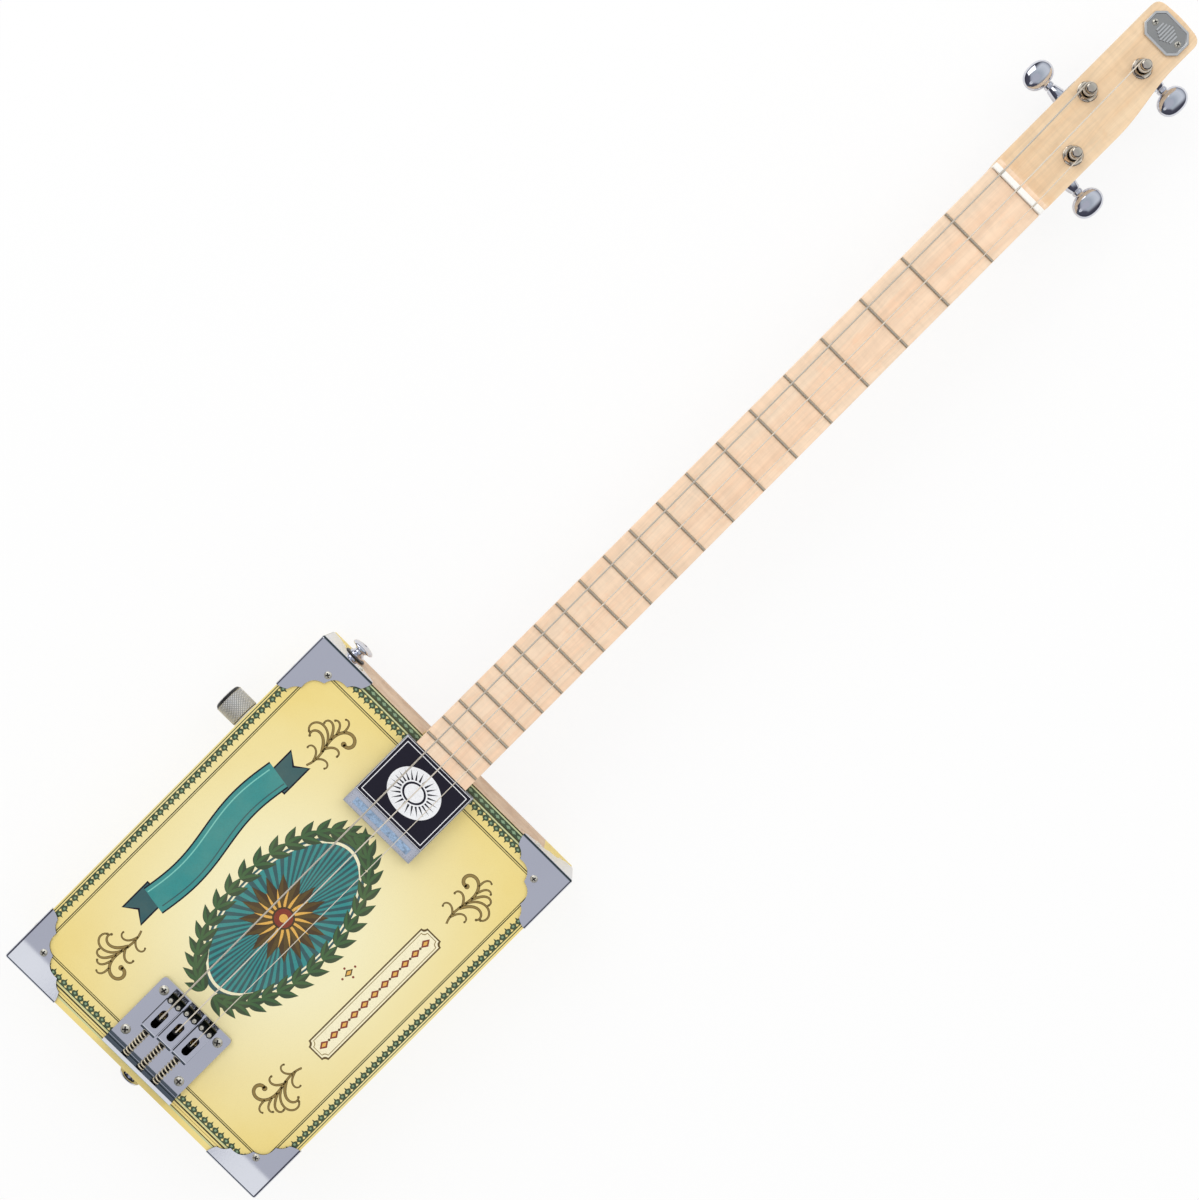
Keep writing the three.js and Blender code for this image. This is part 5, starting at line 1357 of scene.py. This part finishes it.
tunerSizes = {"length": 0.018, "width": 0.020, "height": 0.010, "corner": 0.004, "edge": 0.0012,
              "wormOffset": 0.0065, "wormDepth": 0.0055, "noseRoot": 0.0042, "noseTip": 0.0030, "reach": 0.0255,
              "buttonLength": 0.0144, "buttonWidth": 0.019, "buttonThickness": 0.0086, "collar": 0.003,
              "collarLength": 0.0024, "shaft": 0.002, "nutWidth": 0.010, "nutHeight": 0.0026, "post": 0.003,
              "postBore": 0.0033, "sink": 0.0008, "capLength": 0.002, "waistLength": 0.005, "screwRadius": 0.0016,
              "gap": 0.0003, "washer": (0.0042, 0.0055, 0.0058), "crown": (0.0057, 0.0047)}


def tunerHousing(name, post, worm, place, axisAt, noseEnd):
    size = tunerSizes
    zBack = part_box("neck")[0].z
    half = size["length"] / 2
    y0 = size["wormOffset"] / 2 - size["width"] / 2
    outline = roundedOutline(-half, half, y0, y0 + size["width"], size["corner"], 7)
    shell = prism(outline, -size["height"], -size["gap"])
    bevelSharp(shell, size["edge"], 3, 40.0, lambda edge: all(v.co.z < -size["height"] + tiny for v in edge.verts))
    root = size["noseRoot"]
    tip = size["noseTip"]
    nose = lathe([(0, half - 0.003), (root, half - 0.003), (root, half + 0.001), (tip + 0.0002, noseEnd - 0.0005),
                  (tip - 0.0003, noseEnd), (0, noseEnd)], 32, rightwards, axisAt)
    shell = combined(shell, [nose], "UNION")
    bore = cylinder(size["shaft"] + size["gap"], -0.0065, noseEnd + 0.001, rightwards, axisAt)
    shell = combined(shell, [bore])
    move(shell, place)
    newPiece("tuner_shell_" + name, shell, "chrome", replaced="tuner_housing_" + name)
    screws = bmesh.new()
    at = (post.x, post.y + worm * (y0 + 0.003), zBack - size["height"])
    addScrew(screws, at, (0, 0, -1), size["screwRadius"], 0.0008)
    newPiece("tuner_screw_" + name, screws, "nickel")


def tunerPost(name, at, turn):
    size = tunerSizes
    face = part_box("tuner_nut_" + name)[1].z
    bottom = face - size["nutHeight"]
    below = bottom - 0.001
    flat = size["nutWidth"] / 2 / cos(pi / 6)
    hexagon = lathe([(0, bottom), (flat, bottom), (flat, face), (0, face)], 6, upwards, at, turn)
    wide, narrow = size["crown"]
    crown = lathe([(0, below), (wide, below), (wide, bottom + 0.0014), (narrow, face), (0, face + 0.00001)], 40,
                  upwards, at)
    hexagon = combined(hexagon, [crown], "INTERSECT")
    bore = size["postBore"]
    sunk = bore + size["sink"]
    bore = lathe([(0, below), (bore, below), (bore, face - size["sink"]), (sunk, face), (sunk, face + 0.001),
                  (0, face + 0.001)], 40, upwards, at)
    newPiece("tuner_bushing_" + name, combined(hexagon, [bore]), "tunerMetal", replaced="tuner_nut_" + name)
    inner, rounded, outer = size["washer"]
    foot = bottom + 0.00002
    washer = lathe([(inner, foot), (outer, foot), (outer, bottom + 0.0005), (rounded, bottom + 0.0007),
                    (inner, bottom + 0.0007), (inner, foot)], 40, upwards, at)
    newPiece("tuner_washer_" + name, washer, "tunerMetal")

    low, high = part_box("tuner_post_" + name)
    radius = size["post"]
    waist = radius - 0.0005
    capLow = high.z - size["capLength"]
    waistLow = capLow - size["waistLength"]
    shaft = lathe([(0, low.z), (radius, low.z), (radius, waistLow - 0.0004), (waist, waistLow), (waist, capLow),
                   (radius, capLow + 0.0004), (radius, high.z - 0.0006), (radius - 0.0003, high.z - 0.0002),
                   (radius - 0.0009, high.z), (0, high.z)], 36, upwards, at)
    newPiece("tuner_string_post_" + name, shaft, "tunerMetal", "post_" + name, "tuner_post_" + name)


def tunerButton(name, place, axisAt):
    size = tunerSizes
    mesh = bmesh.new()
    rows = []
    rings = 20
    steps = 36
    for k in range(rings + 1):
        angle = pi * k / rings
        x = size["reach"] - cos(angle) * size["buttonLength"] / 2
        girth = sin(angle) ** 0.82
        wide = girth * size["buttonWidth"] / 2
        thick = girth * size["buttonThickness"] / 2
        outline = [(wide * cos(tau * i / steps), thick * sin(tau * i / steps)) for i in range(steps)]
        rows.append([mesh.verts.new((x, axisAt[1] + y, axisAt[2] + z))
                     for y, z in (outline if girth > tiny else [(0, 0)])])
    stitch(mesh, rows)
    inner = size["reach"] - size["buttonLength"] / 2
    outer = inner - size["collarLength"]
    radius = size["collar"]
    collar = lathe([(0, outer), (radius - 0.0004, outer), (radius, outer + 0.0004), (radius, inner - 0.0004),
                    (radius - 0.0005, inner), (radius, inner + 0.0012), (0, inner + 0.003)], 32, rightwards, axisAt)
    mesh = combined(mesh, [collar], "UNION")
    shaft = cylinder(size["shaft"], size["gap"] - size["wormOffset"], inner + 0.001, rightwards, axisAt)
    mesh = combined(mesh, [shaft], "UNION")
    move(mesh, place)
    newPiece("tuner_knob_" + name, mesh, "chrome", "button_" + name, "tuner_button_" + name)


for tunerName, side, worm in (("left", -1, -1), ("upper_right", 1, 1), ("lower_right", 1, -1)):
    post = middle("tuner_post_" + tunerName)
    place = Matrix.Translation((post.x, post.y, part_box("neck")[0].z)) @ Matrix.Diagonal((side, worm, 1, 1))
    axisAt = (0, tunerSizes["wormOffset"], -tunerSizes["wormDepth"])
    noseEnd = tunerSizes["reach"] - tunerSizes["buttonLength"] / 2 - tunerSizes["collarLength"] - tunerSizes["gap"]
    tunerHousing(tunerName, post, worm, place, axisAt, noseEnd)
    tunerPost(tunerName, (post.x, post.y, 0), 0.35 * (side + worm * 0.5))
    tunerButton(tunerName, place, axisAt)
print("tuners made")


# Bridge


def sheetProfile(path, thickness):
    inner = []
    for i, (y, z) in enumerate(path):
        y0, z0 = path[max(i - 1, 0)]
        y1, z1 = path[min(i + 1, len(path) - 1)]
        first = atan2(z - z0, y - y0)
        second = atan2(z1 - z, y1 - y)
        start = second if i == 0 else first
        end = first if i == len(path) - 1 else second
        turn = atan2(sin(end - start), cos(end - start))
        heading = start + turn / 2
        reach = thickness / cos(turn / 2)
        inner.append((y - reach * sin(heading), z + reach * cos(heading)))
    return path + inner[::-1]


bridge = {"sheet": 0.0022, "bend": 0.003, "corner": 0.0022, "screwSpread": 0.0414, "screwRows": (0.0064, 0.0368),
          "screwRadius": 0.0029, "screwHeight": 0.0016, "saddleSheet": 0.0016, "crest": 0.005,
          "crestHeight": 0.0086, "rearHeight": 0.0068, "frontFoot": 0.0034, "rearFoot": 0.0007, "saddleBend": 0.0026,
          "slotWidth": 0.0046, "slotLength": 0.0126, "slotBehindCrest": 0.0036, "intonationHeight": 0.0036,
          "intonationRadius": 0.0013, "heightSpread": 0.0058, "openFront": 0.0058, "lipTilt": 0.00035,
          "saddleTrim": 0.00018, "heightBehindFront": 0.0032, "heightRadius": 0.0012, "stringDrop": 0.010,
          "thread": 0.000635, "gap": 0.0003, "underShadeMargin": 0.0003, "paintedShadeZone": 0.01, "past": 0.001}


def bridgePlate():
    low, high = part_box("bridge_plate")
    sheet = bridge["sheet"]
    bend = bridge["bend"]
    past = bridge["past"]
    path = [(high.y, low.z)] + arc(low.y + bend, low.z + bend, bend, -pi / 2, -pi, 8) + [(low.y, high.z)]
    mesh = sidePrism(sheetProfile(path, -sheet), low.x, high.x)
    for vertex in mesh.verts:
        if vertex.co.z > high.z - tiny and vertex.co.y < low.y + sheet / 2:
            vertex.co.z -= bridge["lipTilt"]
    corner = bridge["corner"]
    cutters = []
    for side in (-1, 1):
        x = side * high.x
        centreX = x - side * corner
        centreY = high.y - corner
        curve = [(centreX + side * corner * cos(a), centreY + corner * sin(a))
                 for a in [pi / 2 * k / 6 for k in range(7)]]
        chip = [(x + side * past, high.y + past), (x + side * past, centreY), *curve, (centreX, high.y + past)]
        cutters.append(prism(chip, low.z - past, low.z + sheet + past))
    # Rectangles of painted shade under the saddles, widened by a margin so the gaps between them are dark too
    paintedUnderShadeZones = []
    back = Vector((0, bridge["openFront"] / 2, 0))
    for i in (1, 2, 3):
        saddleLow, saddleHigh, x = saddlePlace(i)
        at = (x, 0, low.z + sheet + bridge["intonationHeight"])
        drop = (x, saddleHigh.y - bridge["crest"] - bridge["stringDrop"], 0)
        hole = bridge["intonationRadius"] + bridge["gap"]
        cutters += [cylinder(hole, low.y - past, low.y + 0.004, headwards, at, 24),
                    cylinder(0.0028, low.y - 0.00001, low.y + 0.0014, headwards, at, 24, 0.0016),
                    cylinder(0.0023, low.z - past, low.z + sheet + past, upwards, drop, 24)]
        paintedUnderShadeZones.append((tuple((saddleLow + saddleHigh) / 2 - back),
                        tuple((saddleHigh - saddleLow) / 2 - back + Vector((bridge["underShadeMargin"], 0, 0)))))
    mesh = combined(mesh, cutters)
    bevelSharp(mesh, 0.00035, 2, 50.0)
    # Painted shade: the lip's bent front, and the plate under and between the saddles, are darkened
    materials["bridge"] = metalMaterial("bridge_metal", palette["chrome"], 0.06, paintedFrontShade=(0.10, 0.13, 0.15, 1.0),
                                        paintedShadeLimit=low.y + bridge["paintedShadeZone"], paintedUnderShade=paintedUnderShadeZones)
    newPiece("bridge_sheet", mesh, "bridge", replaced="bridge_plate")
    screws = bmesh.new()
    for side in (-1, 1):
        for row in bridge["screwRows"]:
            place = (side * bridge["screwSpread"] / 2, high.y - row, low.z + sheet)
            addScrew(screws, place, upwards, bridge["screwRadius"], bridge["screwHeight"], side * 0.4 + row * 30)
    newPiece("bridge_screws", screws, "screw")


def saddle(i, z0):
    low, high, x = saddlePlace(i)
    crest = bridge["crest"]
    bend = bridge["saddleBend"]
    thick = bridge["saddleSheet"]
    gap = bridge["gap"]
    path = [(low.y, z0 + bridge["rearFoot"])]
    path += arc(low.y + bend, z0 + bridge["rearHeight"] - bend, bend, pi, pi / 2, 6)
    path += [(y, max(z, z0 + bridge["frontFoot"])) for y, z in
             arc(high.y - crest, z0 + bridge["crestHeight"] - crest, crest, pi / 2, 0, 12)]
    trim = bridge["saddleTrim"]
    mesh = sidePrism(sheetProfile(path, -thick), low.x + trim, high.x - trim)
    slotFront = high.y - crest - bridge["slotBehindCrest"]
    half = bridge["slotWidth"] / 2
    above = z0 + 0.012
    slot = roundedOutline(x - half, x + half, slotFront - bridge["slotLength"], slotFront, half - 0.00005, 8)
    cutters = [prism(slot, z0 + thick, above),
               cylinder(bridge["intonationRadius"] + gap, low.y - bridge["past"], low.y + 0.0026, headwards,
                        (x, 0, z0 + bridge["intonationHeight"]), 24)]
    for side in (-1, 1):
        at = (x + side * bridge["heightSpread"] / 2, high.y - bridge["heightBehindFront"], 0)
        cutters.append(cylinder(bridge["heightRadius"] + gap, z0, above, upwards, at, 24))
    mesh = combined(mesh, cutters)
    bevelSharp(mesh, 0.00025, 2, 50.0)
    newPiece(f"saddle_block_{i}", mesh, "saddle", f"saddle_unit_{i}", f"saddle_{i}")


def heightScrew(number):
    low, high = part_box(f"height_screw_{number}")
    at = ((low.x + high.x) / 2, (low.y + high.y) / 2, 0)
    radius = bridge["heightRadius"]
    grub = lathe([(0, low.z), (radius - 0.0004, low.z), (radius, low.z + 0.0004), (radius, high.z - 0.00025),
                  (radius - 0.00025, high.z), (0, high.z)], 28, upwards, at)
    socket = cylinder(radius * 0.58, high.z - 0.001, high.z + 0.001, upwards, at, 6)
    newPiece(f"height_grub_{number}", combined(grub, [socket]), "screw", f"height_unit_{number}",
             f"height_screw_{number}")


def intonationScrew(i):
    low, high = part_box(f"intonation_screw_{i}")
    radius = bridge["intonationRadius"]
    head = (high.x - low.x) / 2
    profile = [(0, low.y), (head, low.y), (head, low.y + 0.0002), (radius, low.y + 0.0014)]
    y = low.y + 0.003
    while y < high.y - 0.001:
        profile += [(radius, y), (radius - 0.00025, y + bridge["thread"] / 2)]
        y += bridge["thread"]
    profile += [(radius - 0.0002, high.y - 0.0003), (radius - 0.0006, high.y), (0, high.y)]
    screw = lathe(profile, 24, headwards, ((low.x + high.x) / 2, 0, (low.z + high.z) / 2))
    newPiece(f"intonation_thread_{i}", screw, "darkSteel", f"intonation_unit_{i}", f"intonation_screw_{i}")


def spring(i):
    size = {"wire": 0.0008, "radius": 0.0019, "turns": 8, "steps": 26, "sides": 10, "gap": 0.0003, "closed": 0.06}
    centre = middle(f"intonation_spring_{i}")
    wire = size["wire"]
    closed = size["closed"]
    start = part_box("bridge_plate")[0].y + bridge["sheet"] + size["gap"] + wire / 2
    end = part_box(f"saddle_{i}")[0].y - size["gap"] - wire / 2
    points = []
    count = size["turns"] * size["steps"]
    for k in range(count + 1):
        x, z = polar(size["radius"], tau * k / size["steps"])
        share = k / count
        eased = min(max((share - closed) / (1 - 2 * closed), 0.0), 1.0)
        lead = min(share / closed, 1.0) * 0.5 + max((share - 1 + closed) / closed, 0.0) * 0.5
        points.append((centre.x + x, start + (end - start - wire) * eased + wire * lead, centre.z + z))
    mesh = tube(points, [wire / 2] * len(points), size["sides"])
    piece = newPiece(f"spring_coil_{i}", mesh, "spring", None, f"intonation_spring_{i}")
    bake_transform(piece)


bridgePlate()
for i in (1, 2, 3):
    saddle(i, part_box("bridge_plate")[0].z + bridge["sheet"])
    heightScrew(2 * i - 1)
    heightScrew(2 * i)
    intonationScrew(i)
    spring(i)
print("bridge made")


# Strings


def strings():
    size = {"diameters": (0.001, 0.00076, 0.0005), "nutX": (-0.0125, 0.0, 0.0125), "gap": 0.0003, "waist": 0.0025,
            "turns": 2.5, "steps": 40, "pitch": 0.00145, "bend": 0.0026, "slotDepth": 0.0009, "forward": 0.002,
            "cap": 0.002, "ball": 0.0019, "ballLength": 0.003}
    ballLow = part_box("neck")[0].z
    ballHigh = ballLow + size["ballLength"]
    nutLow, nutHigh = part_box("nut")
    bend = size["bend"]
    for i, (name, turning) in enumerate((("left", -1), ("upper_right", -1), ("lower_right", 1))):
        radius = size["diameters"][i] / 2
        nutX = size["nutX"][i]
        saddleHigh, x = saddlePlace(i + 1)[1:]
        drop = saddleHigh.y - bridge["crest"] - bridge["stringDrop"]
        zRun = saddleHigh.z + size["gap"] + radius
        points = [(x, drop, z) for z in (ballLow, ballHigh, ballHigh + 0.0001, zRun - bend - 0.001)]
        points += [(x, drop + along, zRun + rise) for along, rise in arc(bend, -bend, bend, pi, pi / 2, 10)]
        points.append((x, saddleHigh.y + size["forward"], zRun))
        zNut = nutHigh.z - size["slotDepth"] + size["gap"] + radius
        points += [(nutX, nutLow.y, zNut), (nutX, nutHigh.y, zNut)]
        post = middle("tuner_post_" + name)
        wind = size["waist"] + size["gap"] + radius
        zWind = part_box("tuner_post_" + name)[1].z - size["cap"] - radius
        dx = post.x - nutX
        dy = post.y - nutHigh.y
        start = atan2(dy, dx) + turning * (pi / 2 - asin(wind / hypot(dx, dy))) + pi
        for k in range(round(size["turns"] * size["steps"]) + 1):
            dx, dy = polar(wind, start + turning * tau * k / size["steps"])
            points.append((post.x + dx, post.y + dy, zWind - size["pitch"] * k / size["steps"]))
        radii = [size["ball"]] * 2 + [radius] * (len(points) - 2)
        newPiece(f"string_wire_{i + 1}", tube(points, radii, 12), "plainString" if i else "woundString",
                 replaced=f"string_{i + 1}")


strings()
print("strings made")


# Pickup


def pickup():
    low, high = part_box("pickup_case")
    coverLow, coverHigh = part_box("pickup_cover")
    size = {"edge": 0.0006, "strikerWidth": 0.0416, "strikerHeight": 0.0042, "wall": 0.0012, "coverCorner": 0.001,
            "rim": 0.0003, "line": 0.00045, "lineInset": 0.0022, "roundel": (16.5, 13.2), "rays": 24,
            "layer": 0.00001, "faceDrop": 0.00008}
    wall = size["wall"]
    top = coverLow.z - 0.0001
    case = boxMesh(low, (high.x, high.y, top))
    hollow = boxMesh((low.x + wall, low.y + wall, low.z - 0.001), (high.x - wall, high.y - wall, top - wall))
    case = combined(case, [hollow])
    bevelSharp(case, size["edge"], 3, 50.0, lambda edge: all(v.co.z > low.z + 0.001 for v in edge.verts))
    halfX = size["strikerWidth"] / 2
    halfY = size["strikerHeight"] / 2
    stripY = (low.y + coverLow.y) / 2
    bar = boxMesh((-halfX, stripY - halfY, top - 0.0004), (halfX, stripY + halfY, high.z - 0.00003))
    newPiece("pickup_shell", combined(case, [bar], "UNION"), "shell", replaced="pickup_case")
    strip = [value * 1000 for value in (-halfX, halfX, stripY - halfY, stripY + halfY)]
    mesh = inkMesh("striker_strip", [rectangle(*strip)], high.z - 0.00002)
    newPiece("striker_strip", mesh, "striker")

    outline = roundedOutline(coverLow.x, coverHigh.x, coverLow.y, coverHigh.y, size["coverCorner"], 4)
    cover = prism(outline, coverLow.z, coverHigh.z - size["faceDrop"])
    bevelSharp(cover, 0.0002, 2, 60.0)
    newPiece("pickup_face", cover, "ink_navy", replaced="pickup_cover")
    z = coverHigh.z - size["faceDrop"] + size["layer"]
    x0, x1, y0, y1 = (value * 1000 for value in (coverLow.x, coverHigh.x, coverLow.y, coverHigh.y))

    def frameLines(inset, width):
        a, b, c, d = x0 + inset, x1 - inset, y0 + inset, y1 - inset
        sides = ((a, b, c, c + width), (a, b, d - width, d), (a, a + width, c + width, d - width),
                 (b - width, b, c + width, d - width))
        return [rectangle(*side) for side in sides]

    # A framed plain sun on a roundel
    lines = frameLines(size["rim"] * 1000, 0.3) + frameLines(size["lineInset"] * 1000, size["line"] * 1000)
    reachX, reachY = size["roundel"]
    oval = ((x0 + x1) / 2, (y0 + y1) / 2, reachX, reachY)
    rays = sectors(oval, size["rays"], (0.92, 0), (0.5, 0.3), (0.5, -0.3))
    for name, outlines, ink, layer in (("border", lines, "white", 0),
                                       ("roundel", [ovalOutline(*oval, 72)], "white", 0),
                                       ("rays", rays, "navy", 1),
                                       ("disc", [ovalOutline(*oval, 48, 0.44)], "navy", 1),
                                       ("sun", [ovalOutline(*oval, 48, 0.36)], "white", 2)):
        mesh = inkMesh("pickup_" + name, outlines, z + layer * size["layer"])
        newPiece("pickup_" + name, mesh, "ink_" + ink)
    dress("pickup_coil", "copper")


pickup()
print("pickup made")


# Knob, jack and strap buttons


def knob():
    low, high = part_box("volume_knob")
    centre = (low + high) / 2
    at = (0, centre.y, centre.z)
    size = {"radius": 0.009, "pitch": 0.0015, "depth": 0.0005, "dome": 0.003, "edge": 0.0006, "base": 0.0022,
            "domeSteps": 12, "ring": (0.0072, 0.0077, 0.0080, 0.0082, 0.0084), "ringLift": 0.00006,
            "recess": (0.0072, 0.004), "bore": (0.0029, 0.0085)}
    count = round(tau * size["radius"] / size["pitch"]) * 4
    radius = size["radius"]
    edge = size["edge"]

    def knurl(turn, along):
        # Two sets of crossing grooves leave small pyramids
        first = abs((turn + along) % 1 - 0.5) * 2
        second = abs((turn - along) % 1 - 0.5) * 2
        return size["depth"] * max(first, second)

    start = low.x + size["dome"]
    end = high.x - size["base"]
    shoulder = (start - edge * 0.2, radius - edge * 0.2)
    rows = [(low.x, radius * 0.12, 0.0)]
    for k in range(1, size["domeSteps"] + 1):
        angle = pi / 2 * k / size["domeSteps"]
        rows.append((start - edge - (size["dome"] - edge) * cos(angle),
                     (radius - edge) * sin(angle) ** 0.75, 0.0))
    rows.append((*shoulder, 0.0))
    steps = round((end - start) / (size["pitch"] / 4))
    rows += [(start + (end - start) * k / steps, radius, 1.0) for k in range(steps + 1)]
    rows += [(end + 0.0002, radius - 0.0005, 0.0), (end + 0.0006, radius - 0.0005, 0.0),
             (end + 0.0008, radius - 0.0001, 0.0), (high.x - 0.0003, radius - 0.0001, 0.0),
             (high.x, radius - 0.0004, 0.0)]
    mesh = bmesh.new()
    rings = []
    for x, reach, share in rows:
        ring = []
        for i in range(count):
            r = reach - (share * knurl(i / 4, (x - start) / size["pitch"]) if share else 0.0)
            y, z = polar(r, tau * i / count)
            ring.append(mesh.verts.new((x, centre.y + y, centre.z + z)))
        rings.append(ring)
    stitch(mesh, rings, True)
    wide, deep = size["recess"]
    narrow, deeper = size["bore"]
    mesh = combined(mesh, [cylinder(wide, high.x - deep, high.x + 0.001, rightwards, at, 40),
                           cylinder(narrow, high.x - deeper, high.x, rightwards, at, 28)])
    materials["knurled"] = knurledMaterial("knurled_metal", palette["knob"], centre.y, centre.z, radius,
                                           size["depth"], start)
    newPiece("knob_drum", mesh, "knurled", "volume_control", "volume_knob", sharpAngle=60.0)

    def domeX(r):
        angle = asin(min(1.0, (r / (radius - edge)) ** (1 / 0.75)))
        return start - edge - (size["dome"] - edge) * cos(angle)

    # A dark ring lies on the dome's shoulder
    lift = size["ringLift"]
    skin = [(r, domeX(r)) for r in size["ring"]] + [shoulder[::-1]]
    profile = [(r + lift, lift - x) for r, x in skin] + [(r - 2 * lift, -2 * lift - x) for r, x in reversed(skin)]
    newPiece("knob_ring", lathe(profile + profile[:1], 64, (-1, 0, 0), at), "blackPlastic", "volume_control")
    dress("pot_shaft", "steel")
    dress("volume_pot", "steel")
    dress("pot_nut", "nickel")


def jack():
    low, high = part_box("jack_nut")
    centre = (low + high) / 2
    at = (0, centre.y, centre.z)
    past = 0.001
    size = {"hexagon": 0.00751, "crown": (0.0078, 0.0066), "bore": 0.0051}
    hexagon = lathe([(0, low.x), (size["hexagon"], low.x), (size["hexagon"], high.x), (0, high.x)], 6, rightwards, at,
                    0.2)
    wide, narrow = size["crown"]
    crown = lathe([(0, low.x - past), (wide, low.x - past), (wide, low.x + 0.0012), (narrow, high.x), (0, high.x)], 40,
                  rightwards, at)
    hexagon = combined(hexagon, [crown], "INTERSECT")
    hexagon = combined(hexagon, [cylinder(size["bore"], low.x - past, high.x + past, rightwards, at, 40)])
    newPiece("jack_ring_nut", hexagon, "chrome", replaced="jack_nut")
    dress("output_jack", "blackPlastic")


def strapButton(name, side):
    size = {"height": 0.0075, "flange": 0.0028, "flangeRadius": 0.007, "waist": 0.0033, "foot": 0.0048,
            "screw": 0.0017, "gap": 0.0003, "feltBore": 0.002, "feltEdge": 0.0002}
    centre = middle("strap_button_" + name)
    feltLow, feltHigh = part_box("felt_washer_" + name)
    foot, face = (feltLow.y, feltHigh.y) if side > 0 else (-feltHigh.y, -feltLow.y)
    at = (centre.x, 0, centre.z)
    h = size["height"]
    under = h - size["flange"]
    r = size["flangeRadius"]
    waist = size["waist"]
    profile = [(0, -0.0138), (size["screw"], -0.0122), (size["screw"], 0), (size["foot"], 0), (size["foot"], 0.0009),
               (waist + 0.0004, 0.0018), (waist, 0.0026), (waist, under - 0.0014), (waist + 0.0012, under - 0.0004),
               (r - 0.0006, under), (r, under + 0.0005), (r - 0.0001, h - 0.0018), (r - 0.0007, h - 0.0010),
               (r - 0.0018, h - 0.0005), (0.0035, h - 0.00008), (0.0026, h), (0.0022, h - 0.0004), (0, h - 0.0006)]
    base = face + size["gap"]
    mesh = lathe([(radius, base + rise) for radius, rise in profile], 48, (0, side, 0), at)
    newPiece("strap_knob_" + name, mesh, "chrome", replaced="strap_button_" + name)
    radius = (feltHigh.x - feltLow.x) / 2
    inner = radius - size["feltEdge"]
    bore = size["feltBore"]
    felt = lathe([(bore, foot), (inner, foot), (radius, foot + 0.0003), (radius, face - 0.0003), (inner, face),
                  (bore, face), (bore, foot)], 60, (0, side, 0), at)
    newPiece("felt_ring_" + name, felt, "felt", replaced="felt_washer_" + name)


knob()
jack()
strapButton("neck", 1)
strapButton("tail", -1)
# The crossed recesses' painted shade
newPiece("screw_recesses", recessShade, "darkSteel")
print("knob, jack and strap buttons made")
